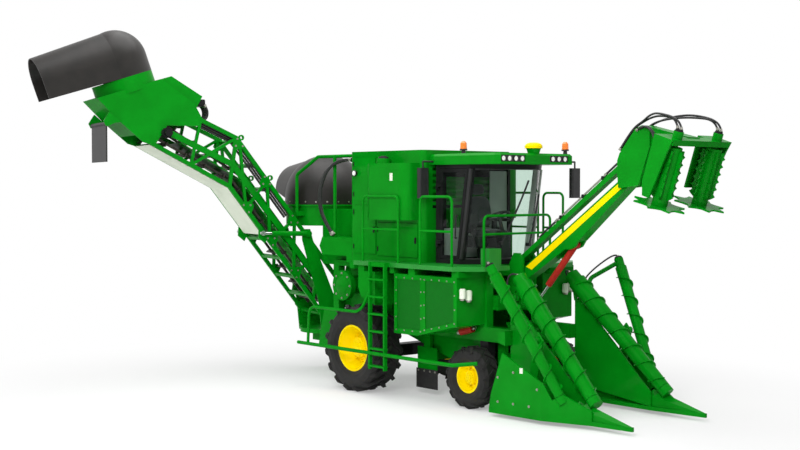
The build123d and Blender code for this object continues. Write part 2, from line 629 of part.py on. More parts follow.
        table.append(sided(mast, side, 0.515, 0.545))
        table.append(block((-0.20, 0.34), sorted((side * 0.40, side * 0.545)), (0.72 + RUN, 0.80)))
        table.append(cross_rod(MAST_PIN, side * 0.52, side * 0.645, 0.03))
        table.append(cross_rod(FOOT, side * 0.52, side * 0.46, 0.035))
        body = fuse([cross_rod(MAST_PIN, side * 0.555, side * 0.64, 0.055), rod(at(0.03), at(0.70), 0.045)])
        pin = cross_rod(MAST_PIN, side * 0.5, side * 0.7, 0.03 + RUN)
        barrels.append(cut(body, pin, rod(at(0.09), at(0.75), 0.024 + RUN)))
        eye = cross_rod(LIFT_EYE, side * 0.57, side * 0.63, 0.045)
        rods.append(fuse([rod(at(0.10), at(length), 0.024), eye]))
    out["elevator_turntable"] = place * fuse(table)
    out["elevator_barrels"] = place * group(barrels)
    out["elevator_rods"] = place * group(rods)


def topper(out):
    # boom deepest at the cylinder's lug, slim parallel link above it
    outline = [
        (2.59, 1.89), (2.66, 1.86), (3.62, 2.47), (3.88, 2.60), (4.82, 3.41), (4.80, 3.52), (4.70, 3.53),
        (2.60, 2.03),
    ]
    boom = [slab(outline, "y", -0.10, 0.10)]
    boom += [cross_rod(BOOM_A, -0.12, 0.12, 0.085), cross_rod(BOOM_B, -0.12, 0.12, 0.075)]
    lug = [(3.58, 2.46), (3.70, 2.46), (3.80, 2.50), (3.90, 2.64), (3.70, 2.66)]
    for side in (-1, 1):
        boom.append(sided(lug, side, 0.06, 0.10))
    slot = block((3.40, 3.83), (-0.06, 0.06), (2.30, 2.605))
    pins = [cross_rod(pin, -0.3, 0.3, 0.035 + RUN) for pin in (BOOM_A, BOOM_B)]
    boom = cut(fuse(boom), slot, *pins)
    out["topper_boom"] = fuse([boom, cross_rod(TOP_CYL_BOOM, -0.08, 0.08, 0.025)])
    link = [slab(strip(LINK_A, LINK_B, 0.075), "y", -0.06, 0.06)]
    for pin in (LINK_A, LINK_B):
        link.append(cross_rod(pin, -0.12, 0.12, 0.045))
    link = fuse(link)
    out["topper_link"] = cut(link, *[cross_rod(pin, -0.3, 0.3, 0.03 + RUN) for pin in (LINK_A, LINK_B)])

    # head: knee cheeks, forward arm, cross beam, drum shafts and side wings, the tools leaning forward
    lean = Pos(TOOL_X, 0, TOOL_Z) * Rot(0, TOOL_LEAN, 0)
    head = []
    knee = [
        (4.68, 3.38), (5.04, 3.42), (5.24, 3.96), (5.24, 4.20), (5.10, 4.27), (4.98, 4.22), (4.70, 3.88),
        (4.66, 3.78), (4.66, 3.60),
    ]
    for side in (-1, 1):
        head.append(sided(knee, side, 0.125, 0.165))
    head.append(cross_rod(BOOM_B, -0.165, 0.165, 0.035))
    head.append(cross_rod(LINK_B, -0.165, 0.165, 0.03))
    arm = [(4.98, 4.00), (5.00, 4.22), (5.10, 4.27), (5.88, 4.08), (5.88, 3.96), (5.24, 4.00)]
    head.append(slab(arm, "y", -0.126, 0.126))
    head.append(lean * block((-0.10, 0.10), (-0.64, 0.64), (0.88, 0.96)))
    for side in (-1, 1):
        head.append(lean * rod((0, side * TOOL_Y, 0.90), (0, side * TOOL_Y, 0.30), 0.04))
        wing = [(-0.16, 0.10), (-0.04, 0.10), (0.06, 0.80), (0.10, 0.96), (-0.22, 0.96), (-0.22, 0.30)]
        head.append(lean * sided(wing, side, 0.64, 0.67))
        head.append(lean * block((-0.22, -0.19), sorted((side * 0.30, side * 0.65)), (0.20, 0.96)))
        head.append(lean * block((-0.22, -0.08), sorted((side * 0.30, side * 0.65)), (0.88, 0.96)))
        head.append(lean * rod((0, side * TOOL_Y, 0.96), (0, side * TOOL_Y, 1.06), 0.07))
    out["topper_head"] = fuse(head)

    comb = [(0.10, 0.10)]
    for k in range(6):
        z = 0.14 + 0.11 * k
        comb += [(0.155, z), (0.185, z + 0.03), (0.155, z + 0.06)]
    comb += [(0.155, 0.80), (0.10, 0.80)]
    star = []
    for k in range(24):
        r = (0.27, 0.38, 0.29)[k % 3]
        star.append((r * math.cos(math.radians(15 * k)), r * math.sin(math.radians(15 * k))))
    for side, name in SIDES:
        drum = [rod((0, 0, 0.02), (0, 0, 0.84), 0.11), slab(star, "z", 0.0, 0.025)]
        for turn in range(6):
            drum.append(Rot(0, 0, 60 * turn + 30 * (side > 0)) * slab(comb, "y", -0.012, 0.012))
        drum = cut(fuse(drum), rod((0, 0, 0.29), (0, 0, 0.9), 0.04 + RUN))
        out["topper_drum_" + name] = lean * (Pos(0, side * TOOL_Y, 0) * drum)

    length = math.dist(TOP_CYL_BOOM, TOP_CYL_BASE)

    def at(distance):
        x, z = between(TOP_CYL_BOOM, TOP_CYL_BASE, distance / length)
        return (x, 0, z)

    barrel = fuse([cross_rod(TOP_CYL_BOOM, -0.05, 0.05, 0.05), rod(at(0.03), at(0.84), 0.05)])
    pin = cross_rod(TOP_CYL_BOOM, -0.1, 0.1, 0.025 + RUN)
    out["topper_barrel"] = cut(barrel, pin, rod(at(0.09), at(0.9), 0.025 + RUN))
    eye = cross_rod(TOP_CYL_BASE, -0.05, 0.05, 0.045)
    out["topper_rod"] = fuse([rod(at(0.10 + TOP_STROKE), at(length), 0.025), eye])


def scroll_shape(length, r0, r1):
    # tapered tube with one welded helical flight
    core = Solid.make_cone(r0, r1, length, Plane.XY)
    slope = math.degrees(math.atan2(r1 - r0, length))
    run = length - 0.16
    helix = Helix(PITCH, run, r0 + (r1 - r0) * 0.08 / length, (0, 0, 0.08), (0, 0, 1), slope)
    section = Plane(origin=helix @ 0, x_dir=(1, 0, 0), z_dir=helix % 0) * Rectangle(2 * FLIGHT, 0.012)
    flight = sweep(section, path=helix, is_frenet=True)
    return fuse([core, flight])


def ridge(x, side, near, far, eave, top):
    # cross-section of the pointed shoe with its ridge
    corners = [(near, 0.06), (far, 0.06), (far, eave), ((near + far) / 2, top), (near, eave)]
    return Wire.make_polygon([(x, side * y, z) for y, z in corners], close=True)


def dividers(out):
    for side, name in SIDES:
        def at(point):
            return (point[0], side * point[1], point[2])

        tools = []
        nose = []
        for label, low, top, r0, r1 in SCROLLS:
            a = Vector(*at(low))
            b = Vector(*at(top))
            u = (b - a).normalized()
            plane = Plane(origin=a, x_dir=Vector(0, 1, 0).cross(u), z_dir=u)
            if side < 0:
                shape = plane.location * scroll_shape((b - a).length, r0, r1)
                hole = rod(tuple(a - u * 0.1), tuple(b + u * 0.1), 0.03 + RUN)
                out["scroll_" + label + "_" + name] = cut(shape, hole)
            else:
                out["scroll_" + label + "_" + name] = out["scroll_" + label + "_right"].mirror(Plane.XZ)
            sweep_r = r1 + FLIGHT + 0.012
            clear = rod(tuple(a - u * 0.005), tuple(b + u * 0.005), sweep_r)
            tools.append((clear, rod(tuple(a - u * 0.05), tuple(b + u * 0.05), 0.03)))
            nose.append(rod(tuple(a - u * 0.12), tuple(a - u * 0.006), r0))
            nose.append(rod(tuple(b + u * 0.006), tuple(b + u * 0.15), r1 * 0.8))
            head = b + u * 0.10
            if label == "inner":
                nose.append(rod(at((3.12, 0.72, 1.62)), tuple(head), 0.035))
            else:
                nose.append(tube([at((3.20, 0.72, 1.60)), at((3.10, 1.10, 1.95)), tuple(head)], 0.035))
        # throat-side wall, low outer panel, floor shoe and pointed nose
        inner = [(3.10, 0.30), (3.10, 1.62), (3.20, 1.66), (4.60, 0.34), (4.60, 0.12)]
        nose.append(sided(inner, side, 0.71, 0.74))
        wall = [(3.12, 1.19), (3.12, 1.22), (4.12, 1.17), (4.86, 0.93), (4.86, 0.90), (4.10, 1.14)]
        rise = [(3.12, 0.12), (3.16, 0.34), (3.38, 0.96), (4.86, 0.26), (4.86, 0.12)]
        panel = slab([(x, side * y) for x, y in wall], "z", 0.1, 1.2)
        nose.append(common(panel, slab(rise, "y", -1.5, 1.5)))
        sole = [
            (3.12, 0.71), (3.12, 1.22), (4.12, 1.17), (4.86, 0.93), (TIP[0], 0.85), (TIP[0], 0.81),
            (4.60, 0.71),
        ]
        nose.append(slab([(x, side * y) for x, y in sole], "z", 0.06, 0.12))
        root = ridge(4.56, side, 0.74, 0.93, 0.28, 0.38)
        point = ridge(TIP[0], side, 0.81, 0.85, 0.10, 0.12)
        nose.append(Solid.make_loft([root, point], True))
        # trimmer motor on its bracket between the scrolls
        bracket = [(3.70, 0.12), (3.80, 0.12), (4.00, 1.18), (3.90, 1.30), (3.80, 1.18)]
        nose.append(sided(bracket, side, 0.98, 1.01))
        nose.append(cross_rod((3.90, 1.18), side * 1.01, side * 1.12, 0.055))
        # hinge eye
        nose.append(sided([(2.99, 1.06), (2.99, 1.20), (3.14, 1.24), (3.14, 1.02)], side, 0.71, 0.90))
        shape = fuse(nose)
        shape = cut(shape, *[t[0] for t in tools])
        cores = [cut(t[1], *[o[0] for o in tools if o is not t]) for t in tools]
        shape = fuse([shape] + cores)
        out["divider_" + name] = cut(shape, cross_rod(DIV_PIVOT, side * 0.6, side * 1.0, 0.03 + RUN))


def pillar(z):
    return between((PILLAR_X[0], 0), (PILLAR_X[1], 0), (z - CAB_Z[0]) / (CAB_Z[1] - CAB_Z[0]))[0]


def cab_solid(depth):
    # straight back and sides, bowed front leaning forward, drawn in by a depth all round
    half = CAB_Y - depth
    faces = []
    for z in (CAB_Z[0] + depth, CAB_Z[1] - depth):
        x = pillar(z)
        back = CAB_BACK + depth
        sides = Polyline((x, half, z), (back, half, z), (back, -half, z), (x, -half, z))
        front = ThreePointArc((x, -half, z), (x + SCREEN_BOW - depth, 0, z), (x, half, z))
        faces.append(Face(Wire([*sides.edges(), front.edge()])))
    return Solid.make_loft([f.outer_wire() for f in faces], True)


def cab(out):
    low = CAB_Z[0] + 0.07
    high = CAB_Z[1] - 0.06
    rear = CAB_BACK + 0.09
    opening = [(rear, low), (pillar(low) - 0.03, low), (pillar(high) - 0.03, high), (rear, high)]
    ahead = [(pillar(low) + 0.04, low), (3.2, low), (3.2, high), (pillar(high) + 0.04, high)]
    front = slab(ahead, "y", -CAB_Y - 0.1, CAB_Y + 0.1)
    left = slab(opening, "y", CAB_Y - 0.10, CAB_Y + 0.10)
    right = slab(opening, "y", -CAB_Y - 0.10, -CAB_Y + 0.10)
    back = block((CAB_BACK - 0.1, CAB_BACK + 0.1), (-0.62, 0.62), (2.75, 3.56))
    lugs = []
    straps = []
    pins = []
    hx, hy, hz = DOOR_AXIS
    for z in DOOR_STRAPS:
        lugs.append(block((hx - 0.02, hx + 0.02), (hy - 0.022, -CAB_Y), (z - 0.05, z - 0.002)))
        lugs.append(rod((hx, hy, z - 0.01), (hx, hy, z + 0.06), 0.01))
        straps.append(block((hx - 0.02, hx + 0.09), (hy - 0.022, hy + 0.022), (z, z + 0.05)))
        straps.append(block((hx + 0.04, hx + 0.09), (hy, -CAB_Y + 0.01), (z, z + 0.05)))
        pins.append(rod((hx, hy, z - 0.1), (hx, hy, z + 0.1), 0.01 + RUN))
    out["cab_frame"] = fuse([cut(cab_solid(0), cab_solid(CAB_WALL), front, left, right, back)] + lugs)
    skin = cut(cab_solid(0.02), cab_solid(0.03))
    out["cab_glass"] = group([common(skin, hole) for hole in (front, left, back)])
    view = inset(opening, 0.06)
    door = cut(slab(inset(opening, 0.006), "y", -CAB_Y, -CAB_Y + 0.04), slab(view, "y", -0.9, -0.7))
    out["cab_door"] = cut(fuse([door] + straps), *pins)
    out["cab_door_glass"] = slab(view, "y", -CAB_Y + 0.012, -CAB_Y + 0.020)

    # roof with a chamfered rim and two recesses for the lamps
    top = CAB_Z[1] + ROOF_H
    plan = [
        (1.42, -ROOF_Y), (2.87, -ROOF_Y), (ROOF_FACE, -0.80), (ROOF_FACE, 0.80), (2.87, ROOF_Y),
        (1.42, ROOF_Y),
    ]
    roof = slab(plan, "z", CAB_Z[1], top)
    roof = chamfer([e for e in roof.edges() if abs(e.center().Z - top) < 0.001], 0.035)
    pockets = []
    for y in ((-0.80, -0.26), (0.28, 0.72)):
        pockets.append(block((ROOF_FACE - 0.03, ROOF_FACE + 0.05), y, (LAMP_Z - 0.05, LAMP_Z + 0.05)))
    out["cab_roof"] = cut(roof, *pockets)
    lamps = []
    for y in LAMPS:
        lamps.append(rod((ROOF_FACE - 0.03, y, LAMP_Z), (ROOF_FACE - 0.002, y, LAMP_Z), 0.042))
    for x, y in BEACONS:
        stem = rod((x, y, top), (x, y, top + 0.07), 0.035)
        lamps.append(fuse([stem, rod((x, y, top + 0.07), (x, y, top + 0.20), 0.055)]))
    x, y = DOME
    base = rod((x, y, top), (x, y, top + 0.08), 0.11)
    lamps.append(fuse([base, rod((x, y, top + 0.08), (x, y, top + 0.17), 0.14)]))
    out["roof_fittings"] = group(lamps)
    mirrors = []
    for x, side in MIRRORS:
        y = side * 1.08
        arm = cross_rod((x, 3.80), side * ROOF_Y, y, 0.015)
        shell = block((x - 0.045, x + 0.045), sorted((side * 0.98, side * 1.18)), (3.22, 3.70))
        shell = fillet(shell.edges().filter_by(Axis.Z), 0.03)
        mirrors.append(fuse([arm, rod((x, y, 3.69), (x, y, 3.805), 0.014), shell]))
    out["mirrors"] = group(mirrors)

    seat = [
        block((1.74, 2.00), (-0.16, 0.16), (2.24, 2.60)), block((1.64, 2.14), (-0.25, 0.25), (2.60, 2.73)),
        slab([(1.64, 2.73), (1.76, 2.73), (1.68, 3.26), (1.58, 3.26)], "y", -0.24, 0.24),
        slab([(1.59, 3.26), (1.66, 3.26), (1.64, 3.46), (1.58, 3.46)], "y", -0.14, 0.14),
    ]
    for side in (-1, 1):
        seat.append(block((1.70, 2.06), sorted((side * 0.27, side * 0.35)), (2.84, 2.90)))
        seat.append(block((1.70, 1.76), sorted((side * 0.24, side * 0.35)), (2.70, 2.86)))
    out["driver_seat"] = fuse(seat)
    wheel = cut(rod((2.11, 0, 2.93), (2.10, 0, 2.955), 0.19), rod((2.12, 0, 2.91), (2.09, 0, 2.97), 0.155))
    spoke = block((0.0, 0.17), (-0.015, 0.015), (-0.008, 0.008))
    spokes = [Pos(2.105, 0, 2.9425) * (Rot(0, -21.8, 0) * (Rot(0, 0, 120 * k) * spoke)) for k in range(3)]
    column = [block((2.16, 2.28), (-0.10, 0.10), (2.24, 2.70)), rod((2.22, 0, 2.66), (2.104, 0, 2.945), 0.03)]
    out["console"] = fuse(column + spokes + [wheel])


def access(out):
    posts = []
    hoops = [
        # side, x of both posts, top
        (-1, 0.32, 1.20, 3.25), (-1, 1.72, 2.44, 3.25), (1, 0.32, 0.95, 3.25), (1, 1.09, 1.72, 3.30),
        (1, 1.84, 2.28, 3.30),
    ]
    for side, x0, x1, z in hoops:
        y = side * (WALK_Y - RAIL_R - 0.003)
        hoop = tube([(x0, y, FLOOR_Z), (x0, y, z), (x1, y, z), (x1, y, FLOOR_Z)], RAIL_R)
        posts.append(fuse([hoop, rod((x0, y, 2.72), (x1, y, 2.72), RAIL_R - 0.002)]))
    y0 = -0.95
    y1 = 0.52
    front = tube([(2.74, y0, FLOOR_Z), (2.74, y0, 2.96), (2.74, y1, 2.96), (2.74, y1, FLOOR_Z)], RAIL_R)
    posts.append(fuse([front, rod((2.74, y0, 2.68), (2.74, y1, 2.68), RAIL_R - 0.002)]))
    guards = []
    for side in (-1, 1):
        y = side * 1.46
        over = [(-1.02, y, 0.72), (-0.98, y, 1.36), (0.40, y, 1.36), (0.40, side * 1.26, 1.70)]
        guard = [
            tube([(-1.30, y, 0.72), (2.58, y, 0.72), (2.90, side * 1.24, 0.76)], 0.03),
            tube(over, 0.025, 0.16),
        ]
        guards.append(cut(fuse(guard), out["side_bays"]))
    out["wheel_guards"] = group([g.solids().sort_by(SortBy.VOLUME)[-1] for g in guards])
    ladder = [block((x, x + 0.035), (-1.46, -1.40), (0.46, 2.19)) for x in (0.60, 0.97)]
    for k in range(6):
        z = 0.50 + 0.28 * k
        ladder.append(block((0.60, 1.005), (-1.47, -1.39), (z, z + 0.03)))
    ladder.append(block((0.60, 1.005), (-1.44, -WALK_Y), (2.12, 2.19)))
    ladder = cut(fuse(ladder), out["wheel_guards"])
    out["handrails"] = group(posts + [ladder])


def build():
    out = {}
    for step in (wheels, chassis, feeders, upper_body, extractor, elevator, topper, dividers, cab, access):
        step(out)
    return out


def main():
    pieces = build()
    whole = Compound(children=[s for p in pieces.values() for s in p.solids()]).bounding_box()
    shift = Pos(-(whole.min.X + whole.max.X) / 2, -(whole.min.Y + whole.max.Y) / 2, -whole.min.Z)
    os.makedirs("parts", exist_ok=True)
    for name, piece in pieces.items():
        solids = [(shift * s).scale(1000, about=(0, 0, 0)) for s in piece.solids()]
        shape = solids[0] if len(solids) == 1 else Compound(children=solids)
        export_step(shape, os.path.join("parts", name + ".step"))


if __name__ == "__main__":
    main()
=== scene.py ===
import json
import math

import bmesh
import bpy
from mathutils import Matrix, Vector


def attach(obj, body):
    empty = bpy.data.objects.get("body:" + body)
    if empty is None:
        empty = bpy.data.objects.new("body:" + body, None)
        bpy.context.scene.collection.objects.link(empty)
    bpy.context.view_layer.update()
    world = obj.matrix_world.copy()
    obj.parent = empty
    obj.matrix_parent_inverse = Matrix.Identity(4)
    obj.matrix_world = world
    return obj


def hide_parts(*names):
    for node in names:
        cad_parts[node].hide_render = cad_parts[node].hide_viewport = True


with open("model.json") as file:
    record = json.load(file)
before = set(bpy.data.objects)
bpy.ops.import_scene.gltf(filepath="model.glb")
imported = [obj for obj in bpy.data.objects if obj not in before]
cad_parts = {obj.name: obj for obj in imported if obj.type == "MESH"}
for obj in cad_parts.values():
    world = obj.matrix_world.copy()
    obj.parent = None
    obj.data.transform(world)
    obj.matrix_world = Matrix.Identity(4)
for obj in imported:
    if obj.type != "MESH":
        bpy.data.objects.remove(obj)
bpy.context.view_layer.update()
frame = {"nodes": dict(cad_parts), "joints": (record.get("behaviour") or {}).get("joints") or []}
nodes = frame["nodes"]

# The machine is measured from the ground point under its rear axle: x forward, y to its left, z up.
REAR_Y = 1.07
REAR_R = 0.725
FRONT_X = 2.475
FRONT_Y = 0.92
FRONT_R = 0.48
hub = next(j for j in frame["joints"] if j["name"] == "rear_wheel_right_spin")["pos_m"]
GROUND = Vector((hub[0], hub[1] + REAR_Y, 0))


def at(x, y, z):
    return GROUND + Vector((x, y, z))


# The elevator has its own plane: s outward from the slew axis, t across, z up.
SLEW_X = -2.37
SLEW_DEG = 256
SLEW_TURN = Matrix.Translation(at(SLEW_X, 0, 0)) @ Matrix.Rotation(math.radians(SLEW_DEG), 4, "Z")


def on_elevator(s, t, z):
    return SLEW_TURN @ Vector((s, t, z))


# Finishes

def linear(code):
    """linear colour of an sRGB hex value"""
    parts = [int(code[i:i + 2], 16) / 255 for i in (1, 3, 5)]
    return [c / 12.92 if c <= 0.04045 else ((c + 0.055) / 1.055) ** 2.4 for c in parts] + [1.0]


def add(tree, kind, ins=None, **settings):
    """one node with its settings, values and links"""
    node = tree.nodes.new(kind)
    for name, value in settings.items():
        setattr(node, name, value)
    for socket, value in (ins or {}).items():
        if isinstance(value, bpy.types.NodeSocket):
            tree.links.new(value, node.inputs[socket])
        else:
            node.inputs[socket].default_value = value
    return node


def finish(name):
    """an empty material with its shader and the place on the object in metres"""
    material = bpy.data.materials.new(name)
    material.use_nodes = True
    tree = material.node_tree
    shader = tree.nodes["Principled BSDF"]
    place = add(tree, "ShaderNodeTexCoord").outputs["Object"]
    return material, tree, shader, place


def mottle(tree, place, low, high, size_mm, detail=3.0):
    """two tones that drift into each other over patches of a size"""
    noise = add(tree, "ShaderNodeTexNoise", {"Vector": place, "Scale": 1000 / size_mm, "Detail": detail})
    ramp = add(tree, "ShaderNodeValToRGB", {"Fac": noise.outputs["Fac"]})
    ramp.color_ramp.elements[0].position = 0.3
    ramp.color_ramp.elements[1].position = 0.7
    ramp.color_ramp.elements[0].color = linear(low)
    ramp.color_ramp.elements[1].color = linear(high)
    return ramp.outputs["Color"]


def grain(tree, place, size_mm, height_mm, strength=1.0):
    """fine relief of a grain size"""
    noise = add(tree, "ShaderNodeTexNoise", {"Vector": place, "Scale": 1000 / size_mm, "Detail": 2.0})
    ins = {"Height": noise.outputs["Fac"], "Distance": height_mm / 1000, "Strength": strength}
    return add(tree, "ShaderNodeBump", ins).outputs["Normal"]


def enamel(name, low, high, gloss):
    # sprayed and baked enamel: even colour, orange peel and a clear gloss that softens in patches
    material, tree, shader, place = finish(name)
    shader.inputs["Specular IOR Level"].default_value = 0.02
    shader.inputs["Coat Weight"].default_value = 0.11
    shader.inputs["Coat Roughness"].default_value = 0.06
    tree.links.new(mottle(tree, place, low, high, 420), shader.inputs["Base Color"])
    patch = add(tree, "ShaderNodeTexNoise", {"Vector": place, "Scale": 7.0, "Detail": 4.0})
    rough = add(tree, "ShaderNodeMapRange", {"Value": patch.outputs["Fac"], 3: gloss - 0.06, 4: gloss + 0.08})
    tree.links.new(rough.outputs[0], shader.inputs["Roughness"])
    tree.links.new(grain(tree, place, 6, 0.15, 0.35), shader.inputs["Normal"])
    return material


def tyre_rubber():
    # vulcanised rubber: near black, matt, lighter where it is scuffed
    material, tree, shader, place = finish("tyre_rubber")
    tree.links.new(mottle(tree, place, "#101010", "#1C1B1A", 90, 6), shader.inputs["Base Color"])
    shader.inputs["Roughness"].default_value = 0.72
    tree.links.new(grain(tree, place, 5, 0.6, 0.5), shader.inputs["Normal"])
    return material


def moulded_polyethylene():
    # rotation-moulded hood plastic: dark grey, a soft sheen and a pebbled skin
    material, tree, shader, place = finish("moulded_polyethylene")
    tree.links.new(mottle(tree, place, "#1D1C1A", "#282523", 260, 5), shader.inputs["Base Color"])
    shader.inputs["Roughness"].default_value = 0.42
    shader.inputs["Specular IOR Level"].default_value = 0.32
    tree.links.new(grain(tree, place, 9, 0.7, 0.45), shader.inputs["Normal"])
    return material


def hose_rubber():
    # wrapped hydraulic hose and sheet rubber: black with a dull sheen
    material, tree, shader, place = finish("hose_rubber")
    tree.links.new(mottle(tree, place, "#161617", "#222222", 60, 5), shader.inputs["Base Color"])
    shader.inputs["Roughness"].default_value = 0.5
    tree.links.new(grain(tree, place, 3, 0.25, 0.6), shader.inputs["Normal"])
    return material


def black_plastic():
    # moulded ABS with a fine texture, as on lamp bars, mirrors and cab trim
    material, tree, shader, place = finish("black_abs")
    tree.links.new(mottle(tree, place, "#181819", "#232324", 150, 4), shader.inputs["Base Color"])
    shader.inputs["Roughness"].default_value = 0.45
    tree.links.new(grain(tree, place, 4, 0.2, 0.4), shader.inputs["Normal"])
    return material


def rolled_steel():
    # bare mild steel worn by the crop: grey-brown, drawn out scratches
    material, tree, shader, place = finish("rolled_steel")
    shader.inputs["Metallic"].default_value = 0.8
    tree.links.new(mottle(tree, place, "#3A3733", "#5B5750", 70, 8), shader.inputs["Base Color"])
    patch = add(tree, "ShaderNodeTexNoise", {"Vector": place, "Scale": 25.0, "Detail": 6.0})
    rough = add(tree, "ShaderNodeMapRange", {"Value": patch.outputs["Fac"], 3: 0.35, 4: 0.65})
    tree.links.new(rough.outputs[0], shader.inputs["Roughness"])
    tree.links.new(grain(tree, place, 8, 0.3, 0.4), shader.inputs["Normal"])
    return material


def hard_chrome():
    # ground and plated piston rod: bright, with faint grinding marks
    material, tree, shader, place = finish("hard_chrome")
    shader.inputs["Metallic"].default_value = 1.0
    tree.links.new(mottle(tree, place, "#C9CCCC", "#DADCDC", 120), shader.inputs["Base Color"])
    shader.inputs["Roughness"].default_value = 0.14
    tree.links.new(grain(tree, place, 2, 0.02, 0.3), shader.inputs["Normal"])
    return material


def zinc_plate():
    # zinc-plated bolts and fittings: pale grey with a slight yellow cast
    material, tree, shader, place = finish("zinc_plate")
    shader.inputs["Metallic"].default_value = 0.9
    tree.links.new(mottle(tree, place, "#9B9A92", "#B9B7AC", 30), shader.inputs["Base Color"])
    shader.inputs["Roughness"].default_value = 0.38
    return material


def window_glass():
    # toughened cab glass: clear with a faint green tint, its faces mirror only outward
    material, tree, shader, place = finish("window_glass")
    clear = add(tree, "ShaderNodeBsdfTransparent", {"Color": linear("#EFF6F2")})
    gloss = add(tree, "ShaderNodeBsdfGlossy", {"Color": linear("#FFFFFF"), "Roughness": 0.03})
    edge = add(tree, "ShaderNodeFresnel", {"IOR": 1.25})
    side = add(tree, "ShaderNodeNewGeometry")
    outer = add(tree, "ShaderNodeMath", {0: 1.0, 1: side.outputs["Backfacing"]}, operation="SUBTRACT")
    share = add(tree, "ShaderNodeMath", {0: edge.outputs[0], 1: outer.outputs[0]}, operation="MULTIPLY")
    mix = add(tree, "ShaderNodeMixShader", {0: share.outputs[0], 1: clear.outputs[0], 2: gloss.outputs[0]})
    tree.links.new(mix.outputs[0], tree.nodes["Material Output"].inputs["Surface"])
    return material


def lens(name, colour, glow):
    # moulded polycarbonate lens: coloured, glossy, lit a little from inside
    material, tree, shader, place = finish(name)
    shader.inputs["Base Color"].default_value = linear(colour)
    shader.inputs["Roughness"].default_value = 0.12
    shader.inputs["Emission Color"].default_value = linear(colour)
    shader.inputs["Emission Strength"].default_value = glow
    shader.inputs["Coat Weight"].default_value = 0.5
    rings = add(tree, "ShaderNodeTexWave", {"Vector": place, "Scale": 40.0}, bands_direction="Z")
    bump = add(tree, "ShaderNodeBump", {"Height": rings.outputs["Fac"], "Distance": 0.002, "Strength": 0.4})
    tree.links.new(bump.outputs["Normal"], shader.inputs["Normal"])
    return material


def seat_cloth():
    # woven upholstery: dark grey, a 4 mm rib drawn coarse enough to show
    material, tree, shader, place = finish("seat_cloth")
    tree.links.new(mottle(tree, place, "#2A2B2D", "#3A3B3D", 18, 4), shader.inputs["Base Color"])
    shader.inputs["Roughness"].default_value = 0.9
    shader.inputs["Sheen Weight"].default_value = 0.3
    ins = {"Vector": place, "Scale": 60.0, "Distortion": 0.6}
    rib = add(tree, "ShaderNodeTexWave", ins, bands_direction="Y")
    bump = add(tree, "ShaderNodeBump", {"Height": rib.outputs["Fac"], "Distance": 0.002, "Strength": 0.5})
    tree.links.new(bump.outputs["Normal"], shader.inputs["Normal"])
    return material


def punched_screen():
    # punched steel screen, enamelled green: rows of 9 mm holes at 14 mm, drawn at 18 mm so that they show.
    # The hole pattern is real; their dark green is painted shade of the space behind them.
    material, tree, shader, place = finish("punched_screen")
    pitch = 0.018
    apart = add(tree, "ShaderNodeSeparateXYZ", {0: place})
    waves = []
    for axis in ("X", "Z"):
        ins = {0: apart.outputs[axis], 1: math.tau / pitch}
        turn = add(tree, "ShaderNodeMath", ins, operation="MULTIPLY")
        waves.append(add(tree, "ShaderNodeMath", {0: turn.outputs[0]}, operation="SINE").outputs[0])
    both = add(tree, "ShaderNodeMath", {0: waves[0], 1: waves[1]}, operation="MULTIPLY")
    hole_and_painted_shade = add(tree, "ShaderNodeMapRange", {"Value": both.outputs[0], 1: 0.05, 2: 0.3})
    # the holes get dark green: painted shade of the shaded bay seen through them, while the same mask also
    # sinks them as real relief
    ins = {"Factor": hole_and_painted_shade.outputs[0], 6: linear("#107A1C"), 7: linear("#04400D")}
    colour = add(tree, "ShaderNodeMix", ins, data_type="RGBA")
    tree.links.new(colour.outputs[2], shader.inputs["Base Color"])
    shader.inputs["Roughness"].default_value = 0.5
    shader.inputs["Specular IOR Level"].default_value = 0.08
    ins = {"Height": hole_and_painted_shade.outputs[0], "Distance": 0.003, "Strength": 0.6}
    bump = add(tree, "ShaderNodeBump", ins, invert=True)
    tree.links.new(bump.outputs["Normal"], shader.inputs["Normal"])
    return material


def tread_plate():
    # rolled tread plate, enamelled green: raised lozenges 30 mm apart
    material, tree, shader, place = finish("tread_plate")
    tree.links.new(mottle(tree, place, "#0B7F1E", "#0E8C24", 300), shader.inputs["Base Color"])
    shader.inputs["Roughness"].default_value = 0.4
    ins = {"Vector": place, "Rotation": (0, 0, math.radians(45)), "Scale": (33, 33, 33)}
    turn = add(tree, "ShaderNodeMapping", ins)
    cells = add(tree, "ShaderNodeTexVoronoi", {"Vector": turn.outputs[0], "Scale": 1.0, "Randomness": 0.0})
    lump = add(tree, "ShaderNodeMapRange", {"Value": cells.outputs["Distance"], 1: 0.45, 2: 0.25})
    bump = add(tree, "ShaderNodeBump", {"Height": lump.outputs[0], "Distance": 0.003, "Strength": 0.7})
    tree.links.new(bump.outputs["Normal"], shader.inputs["Normal"])
    return material


def mirror_glass():
    # silvered glass
    material, tree, shader, place = finish("mirror_glass")
    shader.inputs["Metallic"].default_value = 1.0
    shader.inputs["Base Color"].default_value = linear("#D5DADC")
    shader.inputs["Roughness"].default_value = 0.03
    return material


GREEN = enamel("green_enamel", "#037E12", "#048C17", 0.30)
YELLOW = enamel("yellow_enamel", "#FFDC00", "#FFE600", 0.30)
RED = enamel("red_enamel", "#A5281F", "#B8342A", 0.34)
PALE = enamel("pale_enamel", "#DCE6D2", "#E8F0DE", 0.34)
GREY = enamel("grey_enamel", "#A9AFAA", "#B9BEB9", 0.38)
DARK = enamel("black_enamel", "#1B1C1C", "#242525", 0.36)
TYRE = tyre_rubber()
HOOD = moulded_polyethylene()
RUBBER = hose_rubber()
BLACK = black_plastic()
STEEL = rolled_steel()
CHROME = hard_chrome()
ZINC = zinc_plate()
GLASS = window_glass()
CLEAR = lens("clear_lens", "#EDEFEA", 0.15)
ORANGE = lens("orange_lens", "#F07814", 0.25)
CLOTH = seat_cloth()
SCREEN = punched_screen()
TREAD = tread_plate()
MIRROR = mirror_glass()

